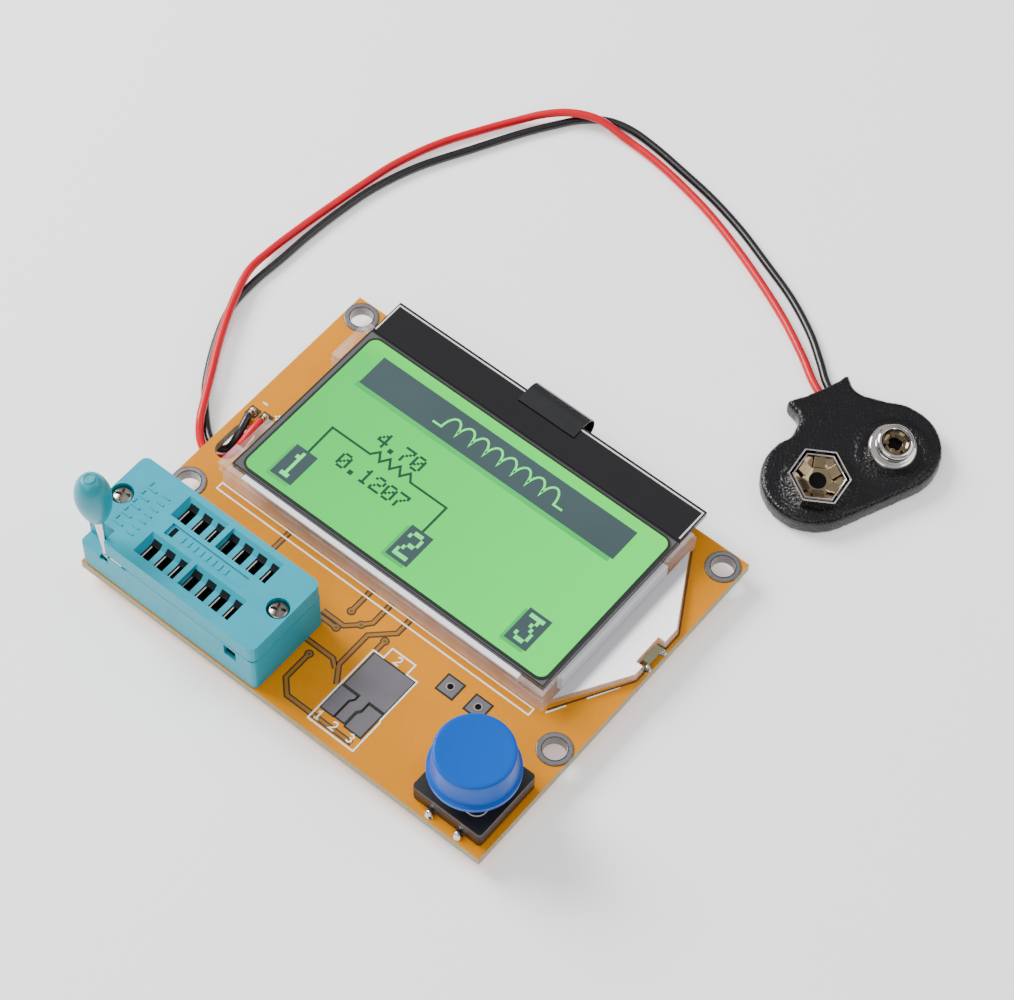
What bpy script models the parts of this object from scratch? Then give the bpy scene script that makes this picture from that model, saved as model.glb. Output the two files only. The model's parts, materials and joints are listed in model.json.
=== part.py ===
"""Component tester: a small yellow circuit board with a zero-force test socket, a green
liquid-crystal display, one push button and a 9 V battery snap on two loose leads.

Lengths below are millimetres. Places on the board are given as x to the right of its left edge,
y back from its front edge, and h above its top face. Everything stands on z = 0.
"""
from math import cos, pi, radians, sin

import bmesh
import bpy
from mathutils import Matrix, Vector

MM = 0.001

# ---------------------------------------------------------------- driving dimensions
BOARD_LENGTH = 73.2
BOARD_WIDTH = 60.5
BOARD_THICKNESS = 1.6
LEAD_DROP = 2.0                     # lead tips reach this far below the board
BOARD_TOP = LEAD_DROP + BOARD_THICKNESS
UNDERSIDE = -BOARD_THICKNESS        # h of the board's underside
FLOOR = -BOARD_TOP                  # h of the surface it stands on
GAP = 0.1                           # between fitted small parts

HOLE_INSET = 2.65
HOLE_BACK_Y = 57.8
HOLE_FRONT_Y = 19.6
HOLE_RADIUS = 1.75
RING_RADIUS = 2.6
PLATING = 0.1

PITCH = 2.54
ROW_SPACING = 7.62
PIN_COUNT = 7
PIN_X = 10.42
FRONT_ROW_Y = 3.83
ROWS_Y = (FRONT_ROW_Y, FRONT_ROW_Y + ROW_SPACING)

SOCKET_LEFT, SOCKET_RIGHT = 0.1, 33.0
SOCKET_FRONT, SOCKET_BACK = 0.2, 14.5
SEAM = 7.0                          # h where the cover meets the base
SOCKET_TOP = 10.5
LEDGE_TOP = 5.1
NOTCH_RIGHT = 5.4                   # the corner notch that the lever stands in
NOTCH_BACK = 2.5
SLOT_LEFT = 10.2                    # first lead slot
SLOT_WIDTH = 1.54
SCREWS_X = (1.95, 31.05)
SCREW_Y = 7.7

PIVOT_X, PIVOT_H = 5.0, 5.7
ARM_Y = 0.85
ARM_THICKNESS = 0.5
KNOB_RADIUS = 2.65
KNOB_BOTTOM, KNOB_TOP = 14.8, 24.2
KNOB_LEAN = radians(3.6)

GLASS_LEFT, GLASS_RIGHT = 7.4, 64.7
GLASS_FRONT, GLASS_BACK = 24.0, 54.7
LEDGE_BACK = 61.2
CABLE_LEFT, CABLE_RIGHT = 31.8, 42.2
CABLE_BACK = 64.0

SWITCH_X, SWITCH_Y = 66.2, 7.45
SWITCH_SIZE = 12.0
LEG_SPREAD = 5.0
LEG_REACH = 6.3

WIRE_RADIUS = 0.65
SNAP_SPACING = 12.7                 # centre to centre of the two battery contacts
SNAP_X, SNAP_Y = 75.2, 84.0         # midpoint between them
SNAP_TURN = radians(66.8)           # direction from the socket to the stud
LOBE_RADIUS = 7.9                   # the two round ends of the snap, which lie LOBE_Y behind
LOBE_Y = 1.4                        # the contacts
NECK_LEFT, NECK_RIGHT, NECK_BACK = -3.2, 7.4, 14.8
MOUTH_LEFT, MOUTH_RIGHT = 1.6, 6.0  # where the leads go in
HEX_RADIUS = 4.4

FRONT_LIMIT = ARM_Y - KNOB_RADIUS
CENTRE_Y = (FRONT_LIMIT + CABLE_BACK) / 2


def place(x, y, h):
    """World position in metres of a point given on the board."""
    return Vector(((x - BOARD_LENGTH / 2) * MM, (y - CENTRE_Y) * MM, (h + BOARD_TOP) * MM))


# ---------------------------------------------------------------- scene and materials
for old in list(bpy.data.objects):
    bpy.data.objects.remove(old, do_unlink=True)

parts = bpy.data.collections.new("component_tester")
cutters = bpy.data.collections.new("cutters")
bpy.context.scene.collection.children.link(parts)
bpy.context.scene.collection.children.link(cutters)


def material(name, colour, roughness, metallic=0.0):
    made = bpy.data.materials.new(name)
    made.use_nodes = True
    shader = made.node_tree.nodes["Principled BSDF"]
    shader.inputs["Base Color"].default_value = (*colour, 1.0)
    shader.inputs["Roughness"].default_value = roughness
    shader.inputs["Metallic"].default_value = metallic
    made.diffuse_color = (*colour, 1.0)
    return made


SOLDER_MASK = material("solder_mask", (0.85, 0.30, 0.02), 0.35)
TIN = material("tinned_copper", (0.62, 0.61, 0.58), 0.35, 1.0)
TURQUOISE = material("turquoise_plastic", (0.09, 0.50, 0.62), 0.45)
STEEL = material("steel", (0.60, 0.58, 0.56), 0.30, 1.0)
SPRING_BRONZE = material("contact_bronze", (0.62, 0.52, 0.40), 0.30, 1.0)
CLEAR_PLASTIC = material("light_guide_acrylic", (0.80, 0.80, 0.82), 0.25)
WHITE_FILM = material("white_film", (0.88, 0.88, 0.90), 0.40)
GLASS = material("display_glass", (0.30, 0.34, 0.33), 0.08)
GREEN_FILM = material("green_polariser", (0.22, 0.60, 0.20), 0.30)
BLACK_TAPE = material("black_tape", (0.02, 0.02, 0.025), 0.30)
CHIP_BLACK = material("chip_epoxy", (0.03, 0.03, 0.03), 0.55)
CABLE_FILM = material("cable_polyimide", (0.03, 0.03, 0.035), 0.35)
LED_CLEAR = material("led_resin", (0.75, 0.75, 0.70), 0.15)
BLACK_PLASTIC = material("black_plastic", (0.02, 0.02, 0.02), 0.40)
BLUE_PLASTIC = material("blue_plastic", (0.02, 0.18, 0.62), 0.35)
CERAMIC = material("ceramic", (0.45, 0.28, 0.12), 0.50)
TANTALUM = material("tantalum_epoxy", (0.80, 0.50, 0.05), 0.45)
RED_PVC = material("red_pvc", (0.70, 0.02, 0.05), 0.35)
BLACK_PVC = material("black_pvc", (0.02, 0.02, 0.02), 0.40)
VINYL = material("black_vinyl", (0.025, 0.025, 0.03), 0.50)
FIBRE = material("black_fibreboard", (0.05, 0.04, 0.04), 0.70)
NICKEL = material("nickel_plate", (0.70, 0.68, 0.64), 0.20, 1.0)
SOLDER = material("solder", (0.70, 0.70, 0.70), 0.25, 1.0)


# ---------------------------------------------------------------- shape helpers
def add(name, mesh, look, location=(0.0, 0.0, 0.0), smooth_below=None):
    made = bpy.data.objects.new(name, mesh)
    parts.objects.link(made)
    made.location = location
    if look is not None and not mesh.materials:
        mesh.materials.append(look)
    if smooth_below is not None:
        mesh.shade_smooth()
        mesh.set_sharp_from_angle(angle=radians(smooth_below))
    return made


def as_cutter(thing):
    parts.objects.unlink(thing)
    cutters.objects.link(thing)
    thing.hide_render = True
    thing.display_type = "WIRE"
    return thing


def boolean(target, tool, operation):
    modifier = target.modifiers.new(f"{operation.lower()}_{tool.name}", "BOOLEAN")
    modifier.operation = operation
    modifier.solver = "EXACT"
    modifier.object = as_cutter(tool)


def cut(target, tool):
    boolean(target, tool, "DIFFERENCE")


def join(target, tool):
    boolean(target, tool, "UNION")


def box_mesh(name, sizes_and_centres):
    """One mesh of separate boxes, each a pair of size and centre in millimetres."""
    shape = bmesh.new()
    for size, centre in sizes_and_centres:
        scale = Matrix.Diagonal((*(side * MM for side in size), 1.0))
        move = Matrix.Translation(Vector(centre) * MM)
        bmesh.ops.create_cube(shape, size=1.0, matrix=move @ scale)
    mesh = bpy.data.meshes.new(name)
    shape.to_mesh(mesh)
    shape.free()
    return mesh


def box(name, low, high, look=None):
    """A box from its low corner to its high corner, both given on the board."""
    size = [top - bottom for bottom, top in zip(low, high)]
    centre = [(top + bottom) / 2 for bottom, top in zip(low, high)]
    return add(name, box_mesh(name, [(size, (0, 0, 0))]), look, place(*centre))


def boxes(name, corners, look=None):
    """Several boxes in one object, each from a low corner to a high corner."""
    spans = []
    for low, high in corners:
        size = [top - bottom for bottom, top in zip(low, high)]
        centre = [(top + bottom) / 2 for bottom, top in zip(low, high)]
        spans.append((size, centre))
    return add(name, box_mesh(name, spans), look, place(0, 0, 0))


def rods(name, spots, radius, low, high, look=None, sides=16):
    """Upright round rods of one radius at each (x, y), from h low to h high."""
    shape = bmesh.new()
    for x, y in spots:
        move = Matrix.Translation(Vector((x, y, (low + high) / 2)) * MM)
        bmesh.ops.create_cone(
            shape, cap_ends=True, segments=sides, radius1=radius * MM, radius2=radius * MM,
            depth=(high - low) * MM, matrix=move)
    mesh = bpy.data.meshes.new(name)
    shape.to_mesh(mesh)
    shape.free()
    return add(name, mesh, look, place(0, 0, 0), smooth_below=40)


def turned(name, profile, look, location, steps=24):
    """A body of revolution about its own Z; the profile runs down its outer side."""
    mesh = bpy.data.meshes.new(name)
    points = [(radius * MM, 0.0, height * MM) for radius, height in profile]
    closed = profile[0][0] > 0 and profile[-1][0] > 0
    count = len(points)
    edges = [(i, i + 1) for i in range(count - 1)]
    if closed:
        edges.append((count - 1, 0))
    mesh.from_pydata(points, edges, [])
    made = add(name, mesh, look, location)
    spin = made.modifiers.new("turn", "SCREW")
    spin.steps = steps
    spin.render_steps = steps
    spin.use_merge_vertices = True
    spin.merge_threshold = 0.00001
    spin.use_smooth_shade = False
    return made


def outline_curve(name, points, thickness):
    """A flat closed outline in its own XY plane, thickened equally to both sides."""
    curve = bpy.data.curves.new(name, "CURVE")
    curve.dimensions = "2D"
    curve.fill_mode = "BOTH"
    curve.extrude = thickness * MM / 2
    spline = curve.splines.new("POLY")
    spline.points.add(len(points) - 1)
    for point, (x, y) in zip(spline.points, points):
        point.co = (x * MM, y * MM, 0.0, 1.0)
    spline.use_cyclic_u = True
    made = bpy.data.objects.new(name, curve)
    parts.objects.link(made)
    return made


def to_mesh(source, look):
    """Replace a curve object, or one with modifiers, by the closed mesh that it makes."""
    bpy.context.view_layer.update()
    shown = source.evaluated_get(bpy.context.evaluated_depsgraph_get())
    mesh = bpy.data.meshes.new_from_object(shown)
    shape = bmesh.new()
    shape.from_mesh(mesh)
    bmesh.ops.remove_doubles(shape, verts=shape.verts, dist=0.000001)
    bmesh.ops.recalc_face_normals(shape, faces=shape.faces)
    shape.to_mesh(mesh)
    shape.free()
    name = source.name
    matrix = source.matrix_world.copy()
    bpy.data.objects.remove(source, do_unlink=True)
    mesh.materials.clear()
    made = add(name, mesh, look)
    made.matrix_world = matrix
    return made


def plate(name, points, low, high, look=None):
    """A flat plate of the given outline on the board, from h low to h high."""
    made = outline_curve(name, points, high - low)
    made.location = place(0, 0, (low + high) / 2)
    return to_mesh(made, look)


def upright_plate(name, points, y, thickness, look=None):
    """A plate standing in the XZ plane at board depth y; points are (x, h) from its origin."""
    made = outline_curve(name, points, thickness)
    made.rotation_euler = (pi / 2, 0.0, 0.0)
    made.location = place(0, y, 0)
    return to_mesh(made, look)


def arc(centre, radius, start, end, steps):
    """Points on a circle from one angle to another, in degrees."""
    turn = [radians(start + (end - start) * i / steps) for i in range(steps + 1)]
    return [(centre[0] + radius * cos(a), centre[1] + radius * sin(a)) for a in turn]


def rounded_rectangle(left, front, right, back, radius, steps=3):
    corners = [((right - radius, back - radius), 0), ((left + radius, back - radius), 90),
               ((left + radius, front + radius), 180), ((right - radius, front + radius), 270)]
    points = []
    for centre, start in corners:
        points += arc(centre, radius, start, start + 90, steps)
    return points


def curve_through(points, per_span):
    """A smooth path that passes through every given point."""
    path = []
    last = len(points) - 1
    for i in range(last):
        a, b = Vector(points[max(i - 1, 0)]), Vector(points[i])
        c, d = Vector(points[i + 1]), Vector(points[min(i + 2, last)])
        for step in range(per_span):
            t = step / per_span
            path.append(b + (c - a) * (t / 2) + (a * 2 - b * 5 + c * 4 - d) * (t * t / 2)
                        + (b * 3 - a - c * 3 + d) * (t ** 3 / 2))
    path.append(Vector(points[-1]))
    return path


def evenly(path, spacing):
    """Points read off a fine path about one spacing apart, both ends included."""
    lengths = [0.0]
    for a, b in zip(path, path[1:]):
        lengths.append(lengths[-1] + (b - a).length)
    count = max(2, round(lengths[-1] / spacing))
    picked, i = [], 0
    for step in range(count + 1):
        target = lengths[-1] * step / count
        while i < len(path) - 2 and lengths[i + 1] < target:
            i += 1
        share = (target - lengths[i]) / (lengths[i + 1] - lengths[i])
        picked.append(path[i].lerp(path[i + 1], min(share, 1.0)))
    return picked


# ---------------------------------------------------------------- circuit board
HOLES = {
    "front_left": (HOLE_INSET, HOLE_FRONT_Y),
    "front_right": (BOARD_LENGTH - HOLE_INSET, HOLE_FRONT_Y),
    "back_left": (HOLE_INSET, HOLE_BACK_Y),
    "back_right": (BOARD_LENGTH - HOLE_INSET, HOLE_BACK_Y),
}
PINS = [(PIN_X + PITCH * i, y) for y in ROWS_Y for i in range(PIN_COUNT)]
LEGS = [(SWITCH_X + side * LEG_SPREAD / 2, SWITCH_Y + end * LEG_REACH)
        for side in (-1, 1) for end in (-1, 1)]
TEST_PADS = [(53.3, 17.9), (58.3, 17.9)]
LEAD_PADS = {"black_lead": (1.65, 34.6), "red_lead": (3.8, 34.9)}
LEAD_SLOT = (1.3, 25.6, 4.85, 32.6)    # left, front, right, back


def circuit_board():
    board = box("circuit_board", (0, 0, UNDERSIDE), (BOARD_LENGTH, BOARD_WIDTH, 0), SOLDER_MASK)
    low, high = UNDERSIDE - 1, 1
    cut(board, rods("mounting_holes", HOLES.values(), HOLE_RADIUS + PLATING + GAP, low, high,
                    sides=24))
    cut(board, rods("pin_holes", PINS, 0.45, low, high, sides=8))
    leg_slots = [((x - 0.7, y - 0.35, low), (x + 0.7, y + 0.35, high)) for x, y in LEGS]
    cut(board, boxes("leg_holes", leg_slots))
    small = TEST_PADS + list(LEAD_PADS.values())
    cut(board, rods("wire_holes", small, 0.5, low, high, sides=12))
    left, front, right, back = LEAD_SLOT
    slot = rounded_rectangle(left, front, right, back, (right - left) / 2 - 0.01, steps=5)
    cut(board, plate("lead_slot", slot, low, high))


def mounting_ring(corner, spot):
    """A plated hole: a thin barrel with a flat ring on each face of the board."""
    inner, outer = HOLE_RADIUS, HOLE_RADIUS + PLATING
    top, bottom = GAP / 2, UNDERSIDE - GAP / 2
    profile = [(inner, top + PLATING), (RING_RADIUS, top + PLATING), (RING_RADIUS, top),
               (outer, top), (outer, bottom), (RING_RADIUS, bottom),
               (RING_RADIUS, bottom - PLATING), (inner, bottom - PLATING)]
    turned(f"mounting_ring_{corner}", profile, TIN, place(*spot, 0))


# ---------------------------------------------------------------- zero-force socket
def socket_base():
    base = plate("socket_base", rounded_rectangle(SOCKET_LEFT, SOCKET_FRONT, SOCKET_RIGHT,
                                                  SOCKET_BACK, 0.8), GAP, SEAM, TURQUOISE)
    cut(base, box("corner_ledge", (-1, -1, LEDGE_TOP), (4.0, NOTCH_BACK, 20)))
    cut(base, box("lever_pocket", (3.9, 0.45, 4.0), (7.2, 1.25, 20)))
    cut(base, box("lever_opening", (3.95, -1, 4.6), (5.6, 0.9, 20)))
    cut(base, box("boss_top", (3.8, 1.0, 6.6), (NOTCH_RIGHT, NOTCH_BACK, 20)))
    cut(base, box("link_pocket", (5.8, -1, 6.55), (9.2, 3.0, 20)))
    cut(base, box("slider_pocket", (6.9, 1.6, 5.1), (30.0, 13.1, 20)))
    wells = [((x - 0.5, y - 1.4, 0.9), (x + 1.6, y + 1.4, 6.0)) for x, y in PINS]
    cut(base, boxes("contact_wells", wells))
    tails = [((x - 0.4, y - 0.4, -1), (x + 0.4, y + 0.4, 1.5)) for x, y in PINS]
    cut(base, boxes("tail_holes", tails))
    cut(base, rods("screw_bores", [(x, SCREW_Y) for x in SCREWS_X], 0.8, 3.5, 20, sides=12))
    pin_bore = rods("pin_bore", [(0, 0)], 0.4, -2.0, 2.0, sides=12)
    pin_bore.rotation_euler = (pi / 2, 0, 0)
    pin_bore.location = place(PIVOT_X, 1.2, PIVOT_H)
    cut(base, pin_bore)
    cut(base, box("latch_window", (27.4, -1, 4.2), (29.6, 1.0, 6.5)))


def lead_trench(row_y, name):
    """The long recess over one row of lead slots, with its far side sloped."""
    left, right = SLOT_LEFT - 1.05, SLOT_LEFT + PITCH * (PIN_COUNT - 1) + SLOT_WIDTH
    front, back = row_y - 2.0, row_y + 2.05
    floor, top = SOCKET_TOP - 1.2, SOCKET_TOP + 0.6
    shape = bmesh.new()
    bmesh.ops.create_cube(shape, size=1.0)
    for corner in shape.verts:
        high = corner.co.z > 0
        x = right if corner.co.x > 0 else (left if high else SLOT_LEFT)
        far = back + 0.6 if high else back - 1.2
        corner.co = (x * MM, (far if corner.co.y > 0 else front) * MM, (top if high else floor) * MM)
    mesh = bpy.data.meshes.new(name)
    shape.to_mesh(mesh)
    shape.free()
    return add(name, mesh, None, place(0, 0, 0))


def socket_cover():
    low = SEAM + 0.15
    cover = plate("socket_cover", rounded_rectangle(SOCKET_LEFT, SOCKET_FRONT, SOCKET_RIGHT,
                                                    SOCKET_BACK, 1.1), low, SOCKET_TOP, TURQUOISE)
    cut(cover, box("cover_notch", (-1, -1, 0), (NOTCH_RIGHT, NOTCH_BACK, 20)))
    slots = []
    for x, y in PINS:
        left = x - PIN_X + SLOT_LEFT
        slots.append(((left, y - 2.0, low - 1), (left + SLOT_WIDTH, y + 0.8, SOCKET_TOP - 0.9)))
    cut(cover, boxes("lead_slots", slots))
    for number, row_y in enumerate(ROWS_Y):
        trench = lead_trench(row_y, f"trench_{number}")
        cut(trench, box(f"divider_{number}", (16.82, row_y - 4, 5), (17.74, row_y + 4, 20)))
        cut(cover, to_mesh(trench, None))
    cut(cover, box("label_recess", (10.8, 6.6, SOCKET_TOP - 0.4), (24.9, 8.7, 20)))
    spots = [(x, SCREW_Y) for x in SCREWS_X]
    cut(cover, rods("screw_seats", spots, 1.7, SOCKET_TOP - 1.2, 20, sides=24))
    cut(cover, rods("screw_passages", spots, 0.85, 0, 20, sides=12))


def socket_slider():
    slider = box("socket_slider", (7.4, 2.0, 5.25), (29.2, 12.9, 6.45), TURQUOISE)
    windows = [((x - 0.62, y - 1.3, 0), (x + 1.53, y + 1.1, 20)) for x, y in PINS]
    cut(slider, boxes("slider_windows", windows))


def contact_mesh():
    """A forked spring contact standing at its own origin, tail down through the board."""
    outline = [(-0.1, 6.4), (-0.1, 1.0), (1.3, 1.0), (1.3, 4.8), (1.1, 4.8), (1.1, 1.25),
               (0.1, 1.25), (0.1, 6.4)]
    fork = upright_plate("fork", outline, 0, 2.0)
    fork.location = (0, 0, 0)
    tail = add("tail", box_mesh("tail", [((0.4, 0.5, 1.1 - FLOOR), (0, 0, (1.1 + FLOOR) / 2))]), None)
    join(fork, tail)
    return to_mesh(fork, SPRING_BRONZE)


def contacts():
    pattern = contact_mesh()
    for number, (x, y) in enumerate(PINS, start=1):
        contact = add(f"contact_{number:02d}", pattern.data, SPRING_BRONZE, place(x, y, 0))
        contact.rotation_euler = pattern.rotation_euler
    bpy.data.objects.remove(pattern, do_unlink=True)


def socket_screw(side, x):
    profile = [(0, 10.4), (0.9, 10.3), (1.55, 9.9), (1.55, 9.45), (0.65, 9.45), (0.65, 4.0),
               (0, 3.9)]
    turned(f"socket_screw_{side}", profile, STEEL, place(x, SCREW_Y, 0), steps=20)


def lever():
    """The lever turns about a cross pin; its round foot is off centre and works as a cam."""
    axis = bpy.data.objects.new("lever_axis", None)
    parts.objects.link(axis)
    axis.location = place(PIVOT_X, ARM_Y, PIVOT_H)
    cam = arc((0, -0.5), 0.85, 170, 370, 12)
    shank = [(0.2, 1.3), (0.2, 8.5), (-0.1, 8.9), (-0.3, 13.0), (-1.0, 13.0), (-1.2, 8.9),
             (-1.7, 8.5), (-0.6, 1.2)]
    arm = upright_plate("lever_arm", cam + shank, 0, ARM_THICKNESS, STEEL)
    bore = rods("arm_bore", [(0, 0)], 0.4, -2, 2, sides=16)
    bore.rotation_euler = (pi / 2, 0, 0)
    bore.location = (0, 0, 0)
    arm.parent = axis
    arm.location = (0, 0, 0)
    bore.parent = axis
    cut(arm, bore)

    length = KNOB_TOP - KNOB_BOTTOM
    profile = [(0.0, length), (0.9, length), (1.7, length - 0.6), (2.4, length - 2.0),
               (KNOB_RADIUS, length - 3.9), (2.45, length - 5.9), (1.95, length - 7.8),
               (1.45, length - 8.9), (1.15, 0.0), (0.0, 0.0)]
    knob = turned("lever_knob", profile, TURQUOISE, (0, 0, 0), steps=24)
    knob.parent = axis
    knob.rotation_euler = (0, -KNOB_LEAN, 0)
    knob.location = Vector((-0.62, 0.0, KNOB_BOTTOM - PIVOT_H)) * MM
    pocket = box("tang_pocket", (0, 0, 0), (1, 1, 1))
    pocket.data = box_mesh("tang_pocket", [((1.5, 0.7, 5.0), (-0.72, 0, 11.0))])
    pocket.parent = axis
    pocket.location = (0, 0, 0)
    cut(knob, pocket)

    pin = rods("lever_pin", [(0, 0)], 0.3, -1.3, 1.3, STEEL, sides=16)
    pin.rotation_euler = (pi / 2, 0, 0)
    pin.location = place(PIVOT_X, 1.85, PIVOT_H)


def lever_link():
    """A bent steel plate between cam and slider; its front edge shows in the seam."""
    link = box("lever_link", (6.1, 0.25, 6.65), (8.3, 2.9, 6.95), STEEL)
    join(link, box("link_nose", (6.1, 0.6, 4.5), (6.6, 1.1, 6.8)))


# ---------------------------------------------------------------- display
def light_guide():
    """Clear tray under the glass, with corner posts and a wedge out to the lamp."""
    left, right, front, back = 5.5, 65.6, 22.8, 57.8
    outline = [(left, front + 1), (left + 1, front), (right, front), (right, back), (6.9, back),
               (6.9, 56.2), (left, 56.2), (left, 47.6), (6.9, 47.6), (6.9, 33.8), (left, 33.8)]
    tray = plate("light_guide", outline, 0.3, 3.0, CLEAR_PLASTIC)
    wedge = [(65.2, 23.8), (72.4, 35.3), (72.4, 37.1), (71.2, 37.1), (71.2, 41.9), (72.4, 41.9),
             (72.4, 44.8), (65.2, 57.0)]
    join(tray, plate("light_wedge", wedge, 0.31, 1.3))
    posts = [((5.6, 22.9, 2.5), (7.2, 27.0, 4.3)), ((7.0, 22.9, 2.6), (10.0, 23.8, 4.2)),
             ((5.6, 47.7, 2.5), (7.2, 54.5, 4.3)), ((64.9, 22.9, 2.5), (65.5, 27.0, 4.3)),
             ((61.0, 22.9, 2.6), (65.1, 23.8, 4.2)), ((64.9, 51.0, 2.5), (65.5, 57.2, 4.3))]
    for number, (low, high) in enumerate(posts):
        join(tray, box(f"post_{number}", low, high))


def reflector_film():
    outline = [(65.8, 24.9), (72.2, 35.3), (72.2, 36.9), (71.0, 36.9), (71.0, 42.1), (72.2, 42.1),
               (72.2, 44.7), (65.8, 56.0)]
    plate("reflector_film", outline, 1.4, 1.52, WHITE_FILM)


def display_glass():
    box("diffuser_film", (7.8, 24.4, 3.08), (64.3, 57.0, 3.18), WHITE_FILM)
    box("rear_glass", (GLASS_LEFT, GLASS_FRONT, 3.25), (GLASS_RIGHT, LEDGE_BACK, 3.85), GLASS)
    box("front_glass", (GLASS_LEFT, GLASS_FRONT, 3.92), (GLASS_RIGHT, GLASS_BACK, 4.5), GLASS)
    box("front_polariser", (8.6, 24.9, 4.56), (63.9, 54.0, 4.68), GREEN_FILM)
    box("driver_chip", (26.0, 57.0, 3.9), (47.0, 58.4, 4.25), CHIP_BLACK)
    tape = box("ledge_tape", (GLASS_LEFT, GLASS_BACK + 0.15, 3.92),
               (GLASS_RIGHT, LEDGE_BACK + 0.1, 4.42), BLACK_TAPE)
    cut(tape, box("chip_pocket", (25.8, 56.8, 3), (47.2, 58.6, 4.32)))


def display_cable():
    """A flat flexible cable that leaves the ledge, curls over the board's edge and comes back."""
    thickness = 0.16
    low, high = 0.2, 4.6
    middle, radius = (low + high) / 2, (high - low) / 2
    turn_y = CABLE_BACK - radius - thickness / 2
    bend = [(turn_y + radius * cos(a), middle + radius * sin(a))
            for a in (pi / 2 - pi * i / 10 for i in range(11))]
    path = [(58.9, high)] + bend + [(58.5, low)]
    shape = bmesh.new()
    rows = [[shape.verts.new((x * MM, y * MM, h * MM)) for x in (CABLE_LEFT, CABLE_RIGHT)]
            for y, h in path]
    for a, b in zip(rows, rows[1:]):
        shape.faces.new((a[0], a[1], b[1], b[0]))
    mesh = bpy.data.meshes.new("display_cable")
    shape.to_mesh(mesh)
    shape.free()
    cable = add("display_cable", mesh, CABLE_FILM, place(0, 0, 0), smooth_below=40)
    wall = cable.modifiers.new("thickness", "SOLIDIFY")
    wall.thickness = thickness * MM
    wall.offset = 0.0


def backlight_lamp():
    lamp = box("backlight_led", (71.4, 37.9, 0.15), (72.6, 41.1, 1.25), LED_CLEAR)
    join(lamp, boxes("led_legs", [((72.0, 37.4, 0.15), (73.0, 38.1, 0.5)),
                                  ((72.0, 40.9, 0.15), (73.0, 41.6, 0.5))]))


# ---------------------------------------------------------------- push button
def push_button():
    half = SWITCH_SIZE / 2
    left, right = SWITCH_X - half, SWITCH_X + half
    front, back = SWITCH_Y - half, SWITCH_Y + half
    base = plate("switch_base", rounded_rectangle(left, front, right, back, 0.5, steps=2),
                 0.15, 2.45, BLACK_PLASTIC)
    cut(base, rods("dome_pocket", [(SWITCH_X, SWITCH_Y)], 4.7, 1.0, 5, sides=32))
    grooves = [((x - 0.7, front - 1, -1), (x + 0.7, back + 1, 0.75)) for x, _ in LEGS[::2]]
    cut(base, boxes("terminal_grooves", grooves))

    frame = plate("switch_frame", rounded_rectangle(left, front, right, back, 0.5, steps=2),
                  2.55, 3.35, BLACK_PLASTIC)
    cut(frame, rods("stem_opening", [(SWITCH_X, SWITCH_Y)], 3.6, 0, 5, sides=32))

    for side, (x, _) in zip(("left", "right"), LEGS[::2]):
        front_leg, back_leg = SWITCH_Y - LEG_REACH, SWITCH_Y + LEG_REACH
        bar = box(f"switch_terminal_{side}", (x - 0.5, front_leg - 0.15, 0.3),
                  (x + 0.5, back_leg + 0.15, 0.6), TIN)
        legs = [((x - 0.45, y - 0.14, FLOOR), (x + 0.45, y + 0.14, 0.5))
                for y in (front_leg, back_leg)]
        join(bar, boxes(f"legs_{side}", legs))

    dome = [(0.5, 1.62), (1.6, 1.55), (2.8, 1.3), (3.4, 1.1), (3.3, 1.05), (2.7, 1.2), (1.5, 1.44),
            (0.5, 1.5)]
    turned("switch_dome", dome, STEEL, place(SWITCH_X, SWITCH_Y, 0), steps=20)

    axis = bpy.data.objects.new("button_axis", None)
    parts.objects.link(axis)
    axis.location = place(SWITCH_X, SWITCH_Y, 0)
    stem = [(0.0, 4.2), (3.3, 4.2), (3.3, 2.35), (4.3, 2.35), (4.3, 1.75), (0.0, 1.75)]
    plunger = turned("switch_plunger", stem, BLACK_PLASTIC, (0, 0, 0), steps=24)
    plunger.parent = axis
    post = add("square_post", box_mesh("square_post", [((3.5, 3.5, 3.4), (0, 0, 5.5))]), None)
    post.parent = axis
    join(plunger, post)
    shell = [(0.0, 12.05), (5.2, 12.05), (5.6, 11.9), (5.75, 11.5), (6.0, 7.9), (6.55, 7.6),
             (6.55, 6.7), (5.4, 6.7), (5.1, 10.6), (3.0, 10.6), (3.0, 4.6), (0.0, 4.6)]
    cap = turned("button_cap", shell, BLUE_PLASTIC, (0, 0, 0), steps=36)
    cap.parent = axis
    seat = add("cap_seat", box_mesh("cap_seat", [((3.8, 3.8, 4.0), (0, 0, 5.4))]), None)
    seat.parent = axis
    cut(cap, seat)


# ---------------------------------------------------------------- parts under the board
def underside_parts():
    top = UNDERSIDE - GAP
    chips = {
        "microcontroller": ((38.0, 42.0), (7.0, 7.0, 1.0), CHIP_BLACK),
        "ceramic_resonator": ((38.0, 33.0), (7.0, 3.0, 1.5), CERAMIC),
        "voltage_regulator": ((16.0, 38.0), (4.5, 2.5, 1.5), CHIP_BLACK),
        "voltage_reference": ((25.0, 40.0), (2.9, 1.4, 1.0), CHIP_BLACK),
        "switching_transistor": ((52.0, 30.0), (2.9, 1.4, 1.0), CHIP_BLACK),
        "capacitor_left": ((12.0, 53.0), (3.5, 2.8, LEAD_DROP - GAP), TANTALUM),
        "capacitor_right": ((61.0, 53.0), (3.5, 2.8, LEAD_DROP - GAP), TANTALUM),
    }
    for name, ((x, y), (length, width, height), look) in chips.items():
        box(name, (x - length / 2, y - width / 2, top - height),
            (x + length / 2, y + width / 2, top), look)


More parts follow.
